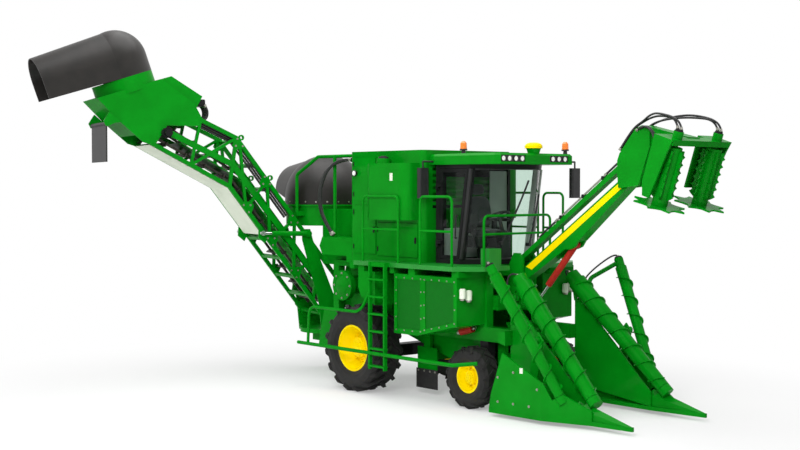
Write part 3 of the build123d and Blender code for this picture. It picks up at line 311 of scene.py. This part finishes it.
NODE_FINISH = {
    "rear_tyre": TYRE, "front_tyre": TYRE, "rear_rim": YELLOW, "front_rim": YELLOW, "primary_hood": HOOD,
    "secondary_hood": HOOD, "bin_flap": RUBBER, "elevator_hoses": RUBBER, "elevator_conveyor": STEEL,
    "engine_block": DARK, "base_cutter": STEEL, "elevator_rods": CHROME, "topper_rod": CHROME,
    "topper_barrel": RED, "cab_glass": GLASS, "cab_door_glass": GLASS, "cab_frame": DARK, "cab_door": DARK,
    "console": BLACK, "mirrors": BLACK, "driver_seat": CLOTH, "roof_fittings": BLACK, "walkway": TREAD,
    "front_knuckle": DARK, "front_axle": DARK, "rear_axle": DARK, "primary_fan": DARK, "secondary_fan": DARK,
}
for name, obj in nodes.items():
    pair = name.removesuffix("_right").removesuffix("_left")
    obj.data.materials.clear()
    obj.data.materials.append(NODE_FINISH.get(pair, GREEN))


# Small pieces are gathered into one mesh for each carrier and finish.

heaps = {}


def heap(name, body, material, slot=None):
    if name not in heaps:
        heaps[name] = (bmesh.new(), body, material, slot)
    return heaps[name][0]


def frame_of(axis):
    return Vector(axis).normalized().to_track_quat("Z", "Y").to_matrix().to_4x4()


def put_round(mesh, start, end, radius, radius_end=None, sides=20):
    start = Vector(start)
    end = Vector(end)
    place = Matrix.Translation((start + end) / 2) @ frame_of(end - start)
    top = radius if radius_end is None else radius_end
    long = (end - start).length
    bmesh.ops.create_cone(
        mesh, cap_ends=True, segments=sides, radius1=radius, radius2=top, depth=long, matrix=place
    )


def put_line(mesh, points, radius, sides=10):
    """a bar bent through points"""
    for p, q in zip(points, points[1:]):
        put_round(mesh, p, q, radius, sides=sides)


def put_box(mesh, low, high, bevel=0.0):
    low = Vector(low)
    high = Vector(high)
    size = high - low
    place = Matrix.Translation((low + high) / 2) @ Matrix.Diagonal([abs(v) for v in size] + [1])
    got = bmesh.ops.create_cube(mesh, size=1, matrix=place)
    if bevel:
        edges = {e for v in got["verts"] for e in v.link_edges}
        bmesh.ops.bevel(mesh, geom=list(edges), offset=bevel, segments=2, affect="EDGES", clamp_overlap=True)


def put_box_on_elevator(mesh, low, high, bevel):
    """a box in the elevator's own plane"""
    count = len(mesh.verts)
    put_box(mesh, low, high, bevel)
    mesh.verts.ensure_lookup_table()
    bmesh.ops.transform(mesh, matrix=SLEW_TURN, verts=mesh.verts[count:])


def put_plate(mesh, outline, thick):
    """a flat plate from an outline of points, thickened along a vector"""
    face = mesh.faces.new([mesh.verts.new(p) for p in outline])
    got = bmesh.ops.extrude_face_region(mesh, geom=[face])
    moved = [v for v in got["geom"] if isinstance(v, bmesh.types.BMVert)]
    bmesh.ops.translate(mesh, verts=moved, vec=thick)


def put_bolt(mesh, point, normal, across=0.022, high=0.012):
    point = Vector(point)
    normal = Vector(normal).normalized()
    put_round(mesh, point, point + normal * high * 0.25, across * 0.75, sides=12)
    put_round(mesh, point + normal * high * 0.25, point + normal * high, across * 0.55, sides=6)


def put_ring(mesh, centre, axis, radius, thick, sides=64):
    """a round bar bent to a ring"""
    turn = Matrix.Translation(centre) @ frame_of(axis)
    rows = []
    for k in range(sides):
        a = math.tau * k / sides
        row = []
        for j in range(10):
            b = math.tau * j / 10
            r = radius + thick * math.cos(b)
            row.append(mesh.verts.new(turn @ Vector((r * math.cos(a), r * math.sin(a), thick * math.sin(b)))))
        rows.append(row)
    for k in range(sides):
        for j in range(10):
            mesh.faces.new([rows[k][j], rows[k - 1][j], rows[k - 1][j - 1], rows[k][j - 1]])


def close_heaps():
    for name, (mesh, body, material, slot) in heaps.items():
        bmesh.ops.recalc_face_normals(mesh, faces=mesh.faces)
        data = bpy.data.meshes.new(name)
        mesh.to_mesh(data)
        mesh.free()
        data.materials.append(material)
        obj = bpy.data.objects.new(name, data)
        bpy.context.scene.collection.objects.link(obj)
        data.shade_smooth()
        data.set_sharp_from_angle(angle=math.radians(35))
        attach(obj, body)


def hoses(name, body, paths, radius):
    """hydraulic lines held at both ends, each one smooth line with a crimped ferrule at its ends"""
    ferrules = heap(name + "_ferrules", body, ZINC, "steel")
    for path in paths:
        for end, inner in ((path[0], path[1]), (path[-1], path[-2])):
            along = (inner - end).normalized()
            put_round(ferrules, end, end + along * radius * 2.6, radius * 1.35, sides=16)
            put_round(ferrules, end, end + along * radius * 0.9, radius * 1.7, sides=6)
    data = bpy.data.curves.new(name, "CURVE")
    data.dimensions = "3D"
    data.bevel_depth = radius
    data.bevel_resolution = 3
    data.resolution_u = 8
    data.use_fill_caps = True
    for path in paths:
        line = data.splines.new("NURBS")
        line.points.add(len(path) - 1)
        for point, place in zip(line.points, path):
            point.co = (*place, 1)
        line.order_u = 3
        line.use_endpoint_u = True
    data.materials.append(RUBBER)
    obj = bpy.data.objects.new(name, data)
    bpy.context.scene.collection.objects.link(obj)
    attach(obj, body)


SIDES = ((-1, "right"), (1, "left"))


# Wheels: nuts on the disc, hub cover with its screws

def wheel_fittings():
    table = [
        # axle, x, y, radius, nut circle, nuts, disc face, hub face, hub cover radius
        ("rear", 0, REAR_Y, REAR_R, 0.225, 10, 0.02, 0.11, 0.135),
        ("front", FRONT_X, FRONT_Y, FRONT_R, 0.150, 8, 0.0, 0.07, 0.085),
    ]
    for axle, x, y, z, circle, count, face, hub_face, cover in table:
        for side, name in SIDES:
            body = axle + "_wheel_" + name
            nuts = heap(axle + "_nuts_" + name, body, YELLOW, "yellow_paint")
            out = Vector((0, side, 0))
            centre = at(x, side * y, z)
            for k in range(count):
                a = math.tau * (k + 0.5) / count
                spot = Vector((circle * math.cos(a), side * face, circle * math.sin(a)))
                put_bolt(nuts, centre + spot, out, 0.032, 0.030)
            step = centre + out * (hub_face + 0.014)
            put_round(nuts, centre + out * hub_face, step, cover, cover * 0.97, 48)
            put_round(nuts, step, step + out * 0.012, cover * 0.55, cover * 0.48, 40)
            for k in range(6):
                a = math.tau * k / 6
                spot = Vector((cover * 0.78 * math.cos(a), 0, cover * 0.78 * math.sin(a)))
                put_bolt(nuts, step + spot, out, 0.016, 0.009)


# Side bays: punched screens in their frames with rows of bolts

def bay_fittings():
    screens = [
        [(1.13, 1.15), (1.68, 1.16), (1.68, 1.94), (1.13, 1.94)],
        [(1.80, 1.19), (2.44, 1.34), (2.44, 1.94), (1.80, 1.94)],
    ]
    for side, name in SIDES:
        panel = heap("bay_screens_" + name, "chassis", SCREEN, "green_paint")
        bolts = heap("bay_bolts_" + name, "chassis", ZINC, "steel")
        out = Vector((0, side, 0))
        for outline in screens:
            put_plate(panel, [at(x, side * 1.2855, z) for x, z in outline], out * 0.004)
            for p, q in zip(outline, outline[1:] + outline[:1]):
                steps = max(2, round(math.dist(p, q) / 0.18))
                for k in range(steps):
                    x = p[0] + (q[0] - p[0]) * k / steps
                    z = p[1] + (q[1] - p[1]) * k / steps
                    mid = (sum(c[0] for c in outline) / 4, sum(c[1] for c in outline) / 4)
                    away = Vector((x - mid[0], z - mid[1])).normalized() * 0.025
                    put_bolt(bolts, at(x + away.x, side * 1.30, z + away.y), out, 0.018, 0.009)


# Engine bay: door panels with seams, hinges and latches, tank caps, work lamp and a bare plate

def engine_bay_fittings():
    panels = [
        # x from, to, z from, to
        (-0.33, 0.26, 2.28, 3.10), (-0.33, 0.26, 3.16, 3.90), (0.30, 1.30, 2.26, 2.82),
    ]
    for side, name in SIDES:
        doors = heap("engine_doors_" + name, "chassis", GREEN, "green_paint")
        small = heap("engine_latches_" + name, "chassis", DARK, "dark_plastic")
        y = side * 1.0
        for x0, x1, z0, z1 in panels:
            put_box(doors, at(x0, y + side * 0.014, z0), at(x1, y - side * 0.002, z1), 0.012)
            for z in (z0 + 0.12, z1 - 0.12):
                pin = at(x0 + 0.012, y + side * 0.018, z)
                put_round(small, pin - Vector((0, 0, 0.04)), pin + Vector((0, 0, 0.04)), 0.010)
            mid = (z0 + z1) / 2
            put_box(small, at(x1 - 0.07, y, mid - 0.05), at(x1 - 0.03, y + side * 0.03, mid + 0.05), 0.006)
        caps = heap("tank_caps_" + name, "chassis", BLACK, "dark_plastic")
        centre = at(0.62, side * 1.15, 3.86)
        up = Vector((0, 0, 0.03))
        put_round(caps, centre, centre + up, 0.085, 0.080, 32)
        put_round(caps, centre + up, centre + up * 1.5, 0.05, 0.045, 24)
        lamps = heap("work_lamps_" + name, "chassis", BLACK, "dark_plastic")
        lenses = heap("work_lenses_" + name, "chassis", CLEAR, "lamp")
        spot = at(-0.25, side * 1.014, 3.63)
        out = Vector((0, side, 0))
        put_round(lamps, spot, spot + out * 0.05, 0.035, 0.052, 28)
        put_ring(lamps, spot + out * 0.052, out, 0.048, 0.006, 32)
        put_round(lenses, spot + out * 0.046, spot + out * 0.058, 0.046, 0.038, 28)
        plates = heap("bare_plates_" + name, "chassis", PALE, "green_paint")
        put_box(plates, at(0.95, side * 1.299, 3.50), at(1.02, side * 1.303, 3.62), 0.001)


# Cab: wipers, lamps, beacons, roof dome, mirror glass, seals, linings, controls and door handle

CAB_FOOT = 2.19
CAB_TOP = 3.75
ROOF_TOP = 3.92
ROOF_FACE = 2.95
LAMP_Z = 3.835


def pillar_x(z):
    return 2.05 + 0.23 * (z - CAB_FOOT) / (CAB_TOP - CAB_FOOT)


def glass_x(y, z):
    """front glass ahead of the pillars at a width and height"""
    bow = 0.38
    half = 0.78
    bend = (half * half + bow * bow) / (2 * bow)
    return pillar_x(z) + bow - bend + math.sqrt(bend * bend - y * y)


def cab_fittings():
    wipers = heap("wipers", "chassis", BLACK, "dark_plastic")
    for base, tip in (((-0.30, 2.52), (0.12, 3.50)), ((0.36, 2.48), (0.60, 3.28))):
        arm = []
        for k in range(9):
            y = base[0] + (tip[0] - base[0]) * k / 8
            z = base[1] + (tip[1] - base[1]) * k / 8
            arm.append(at(glass_x(y, z) + 0.03, y, z))
        put_line(wipers, arm, 0.012, 8)
        put_line(wipers, [p + Vector((-0.012, 0.03, 0)) for p in arm], 0.008, 8)
        put_round(wipers, arm[0] - Vector((0.05, 0, 0)), arm[0] + Vector((0.02, 0, 0)), 0.03)

    bezels = heap("lamp_bezels", "chassis", BLACK, "dark_plastic")
    lenses = heap("lamp_lenses", "chassis", CLEAR, "lamp")
    beacons = heap("beacons", "chassis", ORANGE, "lamp")
    dome = heap("roof_dome", "chassis", YELLOW, "yellow_paint")
    base = heap("dome_base", "chassis", GREEN, "green_paint")
    for low, high in ((-0.80, -0.26), (0.28, 0.72)):
        back = at(ROOF_FACE - 0.029, low + 0.002, LAMP_Z - 0.048)
        put_box(bezels, back, at(ROOF_FACE - 0.012, high - 0.002, LAMP_Z + 0.048), 0.004)
    for y in (-0.74, -0.61, -0.47, -0.33, 0.36, 0.50, 0.64):
        centre = at(ROOF_FACE - 0.03, y, LAMP_Z)
        put_ring(bezels, centre + Vector((0.025, 0, 0)), (1, 0, 0), 0.043, 0.005, 40)
        put_round(lenses, centre + Vector((0.01, 0, 0)), centre + Vector((0.028, 0, 0)), 0.042, 0.036, 32)
    for x, y in ((2.05, -0.72), (2.84, 0.76)):
        foot = at(x, y, ROOF_TOP)
        rise = [foot + Vector((0, 0, h)) for h in (0, 0.05, 0.075, 0.165, 0.195)]
        put_round(bezels, rise[0], rise[1], 0.035, 0.03)
        put_round(bezels, rise[1], rise[2], 0.06, 0.058, 32)
        put_round(beacons, rise[2], rise[3], 0.054, 0.050, 32)
        put_round(beacons, rise[3], rise[4], 0.050, 0.024, 32)
    foot = at(2.82, 0.05, ROOF_TOP)
    rise = [foot + Vector((0, 0, h)) for h in (0, 0.08, 0.12, 0.15, 0.168)]
    put_round(base, rise[0], rise[1], 0.09, 0.115, 40)
    put_round(dome, rise[1], rise[2], 0.14, 0.138, 48)
    put_round(dome, rise[2], rise[3], 0.138, 0.115, 48)
    put_round(dome, rise[3], rise[4], 0.115, 0.07, 48)

    plates = heap("mirror_plates", "chassis", MIRROR, "chrome")
    for x, side in ((1.50, -1), (2.76, 1)):
        low = at(x - 0.048, side * 1.08 - 0.08, 3.25)
        put_box(plates, low, low + Vector((0.006, 0.16, 0.42)), 0.002)

    seals = heap("cab_seals", "chassis", BLACK, "dark_plastic")
    posts = heap("cab_posts", "chassis", GREY, "green_paint")
    low = 2.272
    high = 3.678
    for z in (low, high):
        edge = [-0.74 + 0.148 * k for k in range(11)]
        put_line(seals, [at(glass_x(y, z) + 0.012, y, z) for y in edge], 0.014, 8)
    for side in (-1, 1):
        foot = at(pillar_x(low) + 0.015, side * 0.79, low)
        head = at(pillar_x(high) + 0.015, side * 0.79, high)
        put_round(posts if side > 0 else seals, foot, head, 0.03, sides=16)
    # lining of the far front pillar and of the back wall beside its window
    lining = [(pillar_x(low) - 0.11, low), (pillar_x(low) + 0.05, low), (pillar_x(high) + 0.05, high)]
    lining.append((pillar_x(high) - 0.11, high))
    put_plate(posts, [at(x, 0.747, z) for x, z in lining], Vector((0, -0.006, 0)))
    put_box(posts, at(1.552, 0.34, 2.26), at(1.566, 0.745, 3.66), 0.004)
    put_box(posts, at(1.552, -0.745, 2.26), at(1.566, 0.635, 2.74), 0.004)

    trim = heap("cab_controls", "chassis", BLACK, "dark_plastic")
    put_box(trim, at(2.02, -0.62, 2.80), at(2.05, -0.38, 2.98), 0.01)
    put_round(trim, at(2.03, -0.50, 2.45), at(2.035, -0.50, 2.82), 0.016)
    put_box(trim, at(1.72, -0.48, 2.44), at(2.10, -0.30, 2.62), 0.03)
    for x in (1.80, 1.96):
        put_round(trim, at(x, -0.39, 2.61), at(x + 0.02, -0.39, 2.74), 0.012)
        put_round(trim, at(x + 0.018, -0.39, 2.73), at(x + 0.025, -0.39, 2.80), 0.026, 0.02)
    handle = heap("door_handle", "cab_door", BLACK, "dark_plastic")
    bend = ((1.98, -0.80, 2.60), (1.98, -0.835, 2.60), (2.0, -0.835, 2.95), (2.0, -0.80, 2.95))
    put_line(handle, [at(*place) for place in bend], 0.012)


# Seat: crowned cushions and arm rests on a moulded base

def cushion(name, low, high, crown, tilt=0.0, segments=8):
    mesh = bmesh.new()
    low = Vector(low)
    high = Vector(high)
    bmesh.ops.create_cube(mesh, size=1)
    bmesh.ops.subdivide_edges(mesh, edges=mesh.edges[:], cuts=segments - 1, use_grid_fill=True)
    size = high - low
    for v in mesh.verts:
        x, y, z = (2 * c for c in v.co)
        pull = 1 - crown * (abs(x * y) ** 2 + abs(y * z) ** 2 + abs(x * z) ** 2) / 2
        puff = 1 + crown * (1 - x * x) * (1 - y * y) * 0.6
        rise = z * size.z / 2 * pull * puff / (1 + crown * 0.6)
        v.co = Vector((x * size.x / 2 * pull, y * size.y / 2 * pull, rise))
    data = bpy.data.meshes.new(name)
    mesh.to_mesh(data)
    mesh.free()
    data.materials.append(CLOTH)
    data.transform(Matrix.Translation((low + high) / 2) @ Matrix.Rotation(tilt, 4, "Y"))
    data.shade_smooth()
    obj = bpy.data.objects.new(name, data)
    bpy.context.scene.collection.objects.link(obj)
    smooth = obj.modifiers.new("soften", "SUBSURF")
    smooth.levels = 1
    smooth.render_levels = 1
    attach(obj, "chassis")
    return obj


def seat():
    back = math.radians(-9)
    pieces = [
        cushion("seat_cushion", at(1.65, -0.245, 2.60), at(2.13, 0.245, 2.725), 0.16),
        cushion("seat_back", at(1.615, -0.235, 2.74), at(1.725, 0.235, 3.25), 0.14, back),
        cushion("head_rest", at(1.585, -0.135, 3.27), at(1.655, 0.135, 3.45), 0.2, back),
    ]
    for side, name in SIDES:
        low = at(1.70, side * 0.31 - 0.038, 2.84)
        pieces.append(cushion("arm_rest_" + name, low, low + Vector((0.36, 0.076, 0.06)), 0.2))
    frame_bits = heap("seat_frame", "chassis", BLACK, "dark_plastic")
    put_box(frame_bits, at(1.76, -0.16, 2.24), at(1.98, 0.16, 2.42), 0.02)
    put_box(frame_bits, at(1.72, -0.20, 2.42), at(2.04, 0.20, 2.60), 0.03)
    for side in (-1, 1):
        put_box(frame_bits, at(1.70, side * 0.24, 2.66), at(1.75, side * 0.34, 2.85), 0.008)
    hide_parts("driver_seat")


# Extractor: clamp bolts under the hood, hose bundle in front of it

def extractor_fittings():
    band = heap("hood_band", "primary_hood", ZINC, "steel")
    for k in range(24):
        a = math.tau * (k + 0.5) / 24
        out = Vector((math.cos(a), math.sin(a), 0))
        put_bolt(band, at(SLEW_X, 0, 3.13) + out * 0.7805, out, 0.022, 0.012)
    paths = []
    for k in range(4):
        d = 0.055 * k
        y = -0.98 + 0.012 * k
        paths.append([
            at(-0.47, -0.93 + d / 2, 3.86), at(-0.72, -0.95 + d / 2, 3.88), at(-1.06 - d / 2, y, 3.74),
            at(-1.28 - d / 2, y, 3.42), at(-1.30 - d / 2, y, 3.08), at(-1.16 - d / 2, y, 2.80),
            at(-0.98 - d / 2, y + 0.05, 2.57),
        ])
    hoses("extractor_hoses", "chassis", paths, 0.024)


# Underbody: chopper covers, oil filters, red cylinders and the guards beside the feed throat

def underbody_fittings():
    ram_y = 0.757
    for side, name in SIDES:
        out = Vector((0, side, 0))
        covers = heap("chopper_covers_" + name, "chassis", GREEN, "green_paint")
        bolts = heap("chopper_bolts_" + name, "chassis", ZINC, "steel")
        centre = at(-0.79, side * 0.898, 1.70)
        put_round(covers, centre, centre + out * 0.024, 0.17, 0.13, 48)
        for k in range(8):
            a = math.tau * k / 8
            spot = Vector((0.215 * math.cos(a), side * 0.002, 0.215 * math.sin(a)))
            put_bolt(bolts, centre + spot, out, 0.026, 0.014)
        filters = heap("oil_filters_" + name, "chassis", PALE, "green_paint")
        for y, z in ((1.22, 1.77), (1.09, 1.74)):
            spot = at(2.556, side * y, z - 0.06)
            put_round(filters, spot, spot + Vector((0, 0, 0.13)), 0.050, 0.050, 28)
            put_round(filters, spot + Vector((0, 0, 0.13)), spot + Vector((0, 0, 0.15)), 0.050, 0.034, 28)
            put_round(bolts, spot - Vector((0, 0, 0.03)), spot, 0.040, 0.046, 24)
        rams = heap("axle_rams_" + name, "chassis", RED, "yellow_paint")
        line = [at(x, side * ram_y, z) for x, z in ((1.98, 1.114), (2.04, 1.13), (2.30, 1.20), (2.36, 1.216))]
        put_round(rams, line[1], line[2], 0.058, sides=28)
        put_round(bolts, line[0], line[1], 0.040, sides=20)
        put_round(bolts, line[2], line[3], 0.030, sides=20)
        # cane guard beside the feed throat: a bolted plate with a rubber skirt under it
        guard = heap("throat_guard_" + name, "chassis", GREEN, "green_paint")
        put_box(guard, at(0.80, side * 0.558, 0.36), at(1.28, side * 0.568, 0.78), 0.004)
        skirt = heap("throat_skirt_" + name, "chassis", RUBBER, "rubber")
        put_box(skirt, at(0.78, side * 0.567, 0.10), at(1.30, side * 0.579, 0.42), 0.004)
        for x in (0.84, 0.98, 1.12, 1.24):
            put_bolt(bolts, at(x, side * 0.579, 0.385), out, 0.024, 0.012)


# Elevator: pale floor sheet, gussets, head motors, valve block and hoses

def elevator_fittings():
    low0 = Vector((0.20, 0.95))
    low1 = Vector((2.08, 3.41))
    low2 = Vector((3.48, 4.15))
    top0 = Vector((-0.083, 1.596))
    top1 = Vector((1.95, 4.26))
    sheet = heap("elevator_floor", "elevator", PALE, "green_paint")
    for p, q in ((low0.lerp(low1, 0.66), low1), (low1, low2)):
        along = (q - p).normalized()
        under = Vector((along.y, -along.x))
        p = p + under * 0.036
        q = q + under * 0.036
        lift = on_elevator(under.x, 0, under.y) - on_elevator(0, 0, 0)
        ring = ((p, -0.45), (q, -0.45), (q, 0.45), (p, 0.45))
        put_plate(sheet, [on_elevator(c.x, t, c.y) for c, t in ring], lift * 0.004)
    motors = heap("elevator_motors", "elevator", DARK, "steel")
    bolts = heap("elevator_bolts", "elevator", ZINC, "steel")
    gussets = heap("elevator_gussets", "elevator", GREEN, "green_paint")
    joints = [
        # rail from, to, places of the gussets along it, side they reach to
        (low0, low1, (0.36, 0.60, 0.84), 1), (top0, top1, (0.46, 0.72, 0.97), -1),
    ]
    for side in (-1, 1):
        put_round(motors, on_elevator(3.22, side * 0.50, 4.32), on_elevator(3.22, side * 0.60, 4.32), 0.09)
        put_round(motors, on_elevator(3.22, side * 0.60, 4.32), on_elevator(3.22, side * 0.70, 4.32), 0.065)
        face = on_elevator(0, side, 0) - on_elevator(0, 0, 0)
        for start, end, places, turn in joints:
            along = (end - start).normalized()
            inward = Vector((-along.y, along.x)) * turn
            for part in places:
                c = start.lerp(end, part)
                ring = [c - along * 0.14, c + along * 0.14, c + along * 0.05 + inward * 0.15]
                ring.append(c - along * 0.05 + inward * 0.15)
                put_plate(gussets, [on_elevator(v.x, side * 0.5095, v.y) for v in ring], face * 0.006)
                for v in (c - along * 0.08, c + along * 0.08, c + inward * 0.10):
                    put_bolt(bolts, on_elevator(v.x, side * 0.5155, v.y), face, 0.024, 0.012)
    valves = heap("elevator_valves", "elevator", DARK, "steel")
    put_box_on_elevator(valves, (2.49, 0.06, 4.80), (2.62, 0.42, 4.92), 0.01)
    paths = []
    for k in range(5):
        t = 0.40 - 0.065 * k
        paths.append([
            on_elevator(2.55, t, 4.54), on_elevator(2.47, t, 4.58), on_elevator(2.44, t, 4.66),
            on_elevator(2.45, t, 4.76), on_elevator(2.50, t, 4.83),
        ])
    hoses("elevator_head_hoses", "elevator", paths, 0.018)


# Topper: stripe on the boom, pipes along the link, hoses and motors on the head

TOOL = Matrix.Translation(at(5.63, 0, 3.14)) @ Matrix.Rotation(math.radians(18), 4, "Y")


def topper_fittings():
    stripe = heap("boom_stripe", "topper_boom", YELLOW, "yellow_paint")
    for side in (-1, 1):
        outline = [(2.93, 2.12), (4.73, 3.41), (4.71, 3.50), (2.81, 2.16)]
        put_plate(stripe, [at(x, side * 0.1003, z) for x, z in outline], Vector((0, side * 0.0015, 0)))
    pipes = heap("link_pipes", "topper_link", ZINC, "steel")
    clamps = heap("link_clamps", "topper_link", DARK, "steel")
    paths = []
    for y in (-0.045, 0.045):
        put_line(pipes, [at(3.41, y, 2.90), at(4.34, y, 3.572)], 0.014, 14)
        paths.append([at(4.34, y, 3.572), at(4.44, y, 3.645), at(4.56, y, 3.735), at(4.66, y, 3.80)])
        paths.append([at(3.41, y, 2.90), at(3.32, y, 2.835), at(3.14, y, 2.71), at(3.02, y, 2.60)])
    for x, z in ((3.48, 2.94), (3.92, 3.26), (4.30, 3.53)):
        put_box(clamps, at(x - 0.03, -0.065, z - 0.03), at(x + 0.03, 0.065, z + 0.03), 0.008)
    hoses("link_hoses", "topper_link", paths, 0.016)
    motors = heap("topper_motors", "topper_head", DARK, "steel")
    paths = []
    for side in (-1, 1):
        top = Vector((0, side * 0.45, 1.06))
        put_round(motors, TOOL @ top, TOOL @ (top + Vector((0, 0, 0.03))), 0.06, 0.05, 24)
        for k in (0, 1):
            y = side * (0.132 + 0.026 * k)
            paths.append([
                at(4.70, y, 3.93), at(4.82, y, 4.085), at(4.97, y, 4.25), at(5.12, y, 4.325),
                at(5.32, side * (0.22 + 0.05 * k), 4.37 + 0.03 * k),
                at(5.58, side * (0.36 + 0.06 * k), 4.38 + 0.04 * k),
                TOOL @ (top + Vector((-0.10 + 0.08 * k, 0, 0.16))),
                TOOL @ (top + Vector((-0.03 + 0.06 * k, 0, 0.03))),
            ])
    for k in (0, 1):
        y = -0.185 - 0.03 * k
        paths.append([
            at(5.02, y + 0.04, 4.20), at(5.16, y, 4.27), at(5.34, y - 0.03, 4.20), at(5.46, y - 0.08, 3.95),
            TOOL @ Vector((-0.26, -0.36 - 0.05 * k, 0.62)), TOOL @ Vector((-0.25, -0.36 - 0.05 * k, 0.40)),
            TOOL @ Vector((-0.222, -0.36 - 0.05 * k, 0.30)),
        ])
    hoses("topper_hoses", "topper_head", paths, 0.015)


# Dividers: bolts on the outer panel, bare plates, scroll motors and their hoses

def divider_fittings():
    heads = [
        # top of each scroll's shaft, way it points
        (Vector((3.24, 0.60, 1.92)), Vector((-1.52, -0.20, 1.50)).normalized()),
        (Vector((3.44, 1.42, 2.12)), Vector((-0.94, 0.36, 1.68)).normalized()),
    ]
    for side, name in SIDES:
        body = "divider_" + name
        bolts = heap("divider_bolts_" + name, body, ZINC, "steel")
        for x, z in ((3.30, 0.24), (3.30, 0.60), (3.60, 0.24), (3.60, 0.70), (3.90, 0.24), (4.05, 0.50)):
            put_bolt(bolts, at(x, side * (1.22 - 0.05 * (x - 3.12)), z), (0, side, 0), 0.026, 0.014)
        plates = heap("divider_plates_" + name, body, PALE, "green_paint")
        outline = [(3.72, 0.70), (3.78, 0.70), (3.78, 0.78), (3.72, 0.78)]
        ring = [at(x, side * (1.2202 - 0.05 * (x - 3.12)), z) for x, z in outline]
        put_plate(plates, ring, Vector((0, side * 0.002, 0)))
        caps = heap("scroll_motors_" + name, body, DARK, "steel")
        paths = []
        for point, way in heads:
            point = Vector((point.x, side * point.y, point.z))
            way = Vector((way.x, side * way.y, way.z))
            end = at(*(point + way * 0.15))
            put_round(caps, end, end + way * 0.03, 0.07, 0.06, 24)
            tip = end + way * 0.03
            if abs(point.y) < 1:
                paths.append([
                    tip, tip + way * 0.06, tip + Vector((-0.16, side * 0.06, 0.02)),
                    at(2.99, side * 0.72, 1.86), at(3.08, side * 0.725, 1.70), at(3.16, side * 0.725, 1.64),
                ])
            else:
                paths.append([
                    tip, tip + way * 0.06, tip + Vector((-0.14, side * -0.10, -0.02)),
                    at(3.06, side * 1.08, 2.02), at(3.10, side * 0.86, 1.84), at(3.17, side * 0.745, 1.64),
                ])
        hoses("scroll_hoses_" + name, body, paths, 0.014)


wheel_fittings()
bay_fittings()
engine_bay_fittings()
cab_fittings()
seat()
extractor_fittings()
underbody_fittings()
elevator_fittings()
topper_fittings()
divider_fittings()
close_heaps()
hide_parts("roof_fittings")


# Floor, light and camera

def studio():
    floor_mesh = bpy.data.meshes.new("floor")
    half = 60
    corners = [(-half, -half, 0), (half, -half, 0), (half, half, 0), (-half, half, 0)]
    floor_mesh.from_pydata(corners, [], [(0, 1, 2, 3)])
    floor = bpy.data.objects.new("floor", floor_mesh)
    floor.location.z = -0.001
    bpy.context.scene.collection.objects.link(floor)
    # pale floor that keeps the shadow near the machine and runs out to plain white
    material, tree, shader, place = finish("floor_sheet")
    matt = add(tree, "ShaderNodeBsdfDiffuse", {"Color": linear("#F4F4F4")})
    white = add(tree, "ShaderNodeEmission", {"Color": linear("#FFFFFF"), "Strength": 1.0})
    far = add(tree, "ShaderNodeVectorMath", {0: place}, operation="LENGTH")
    ins = {"Value": far.outputs["Value"], 1: 4.0, 2: 9.0, 3: 0.35}
    fade = add(tree, "ShaderNodeMapRange", ins, interpolation_type="SMOOTHSTEP")
    ray = add(tree, "ShaderNodeLightPath")
    ins = {0: ray.outputs["Is Camera Ray"], 1: ray.outputs["Is Transmission Ray"]}
    seen = add(tree, "ShaderNodeMath", ins, operation="MAXIMUM")
    share = add(tree, "ShaderNodeMath", {0: fade.outputs[0], 1: seen.outputs[0]}, operation="MULTIPLY")
    mix = add(tree, "ShaderNodeMixShader", {0: share.outputs[0], 1: matt.outputs[0], 2: white.outputs[0]})
    tree.links.new(mix.outputs[0], tree.nodes["Material Output"].inputs["Surface"])
    floor_mesh.materials.append(material)

    world = bpy.data.worlds.new("studio")
    bpy.context.scene.world = world
    world.use_nodes = True
    tree = world.node_tree
    light = add(tree, "ShaderNodeBackground", {"Color": linear("#FFFFFF"), "Strength": 0.34})
    plain = add(tree, "ShaderNodeBackground", {"Color": linear("#FFFFFF"), "Strength": 1.0})
    ray = add(tree, "ShaderNodeLightPath")
    ins = {0: ray.outputs["Is Camera Ray"], 1: ray.outputs["Is Glossy Ray"]}
    one = add(tree, "ShaderNodeMath", ins, operation="MAXIMUM")
    ins = {0: one.outputs[0], 1: ray.outputs["Is Transmission Ray"]}
    two = add(tree, "ShaderNodeMath", ins, operation="MAXIMUM")
    mix = add(tree, "ShaderNodeMixShader", {0: two.outputs[0], 1: light.outputs[0], 2: plain.outputs[0]})
    tree.links.new(mix.outputs[0], tree.nodes["World Output"].inputs["Surface"])

    softboxes = [
        # name, place, size, power
        ("overhead", (0, -1, 13), 12, 1300), ("key", (9, -11, 9), 6, 1250), ("fill", (-10, -10, 7), 7, 350),
    ]
    for name, place, size, power in softboxes:
        lamp = bpy.data.lights.new(name, "AREA")
        lamp.size = size
        lamp.energy = power
        obj = bpy.data.objects.new(name, lamp)
        obj.location = GROUND + Vector(place)
        # flat tops stay green from behind: only the overhead softbox is mirrored in the paint
        obj.visible_glossy = name == "overhead"
        aim = GROUND + Vector((1, 0, 2)) - obj.location
        obj.rotation_euler = aim.to_track_quat("-Z", "Y").to_euler()
        bpy.context.scene.collection.objects.link(obj)

    lens_data = bpy.data.cameras.new("camera")
    lens_data.sensor_width = 36
    lens_data.lens = 57.8
    camera = bpy.data.objects.new("camera", lens_data)
    camera.location = at(16.588, -14.627, 3.4)
    yaw = math.radians(40.9)
    dip = math.radians(1.7)
    look = Vector((-math.cos(yaw) * math.cos(dip), math.sin(yaw) * math.cos(dip), -math.sin(dip)))
    camera.rotation_euler = look.to_track_quat("-Z", "Y").to_euler()
    bpy.context.scene.collection.objects.link(camera)
    bpy.context.scene.camera = camera


studio()
bpy.context.scene.view_settings.view_transform = "Standard"
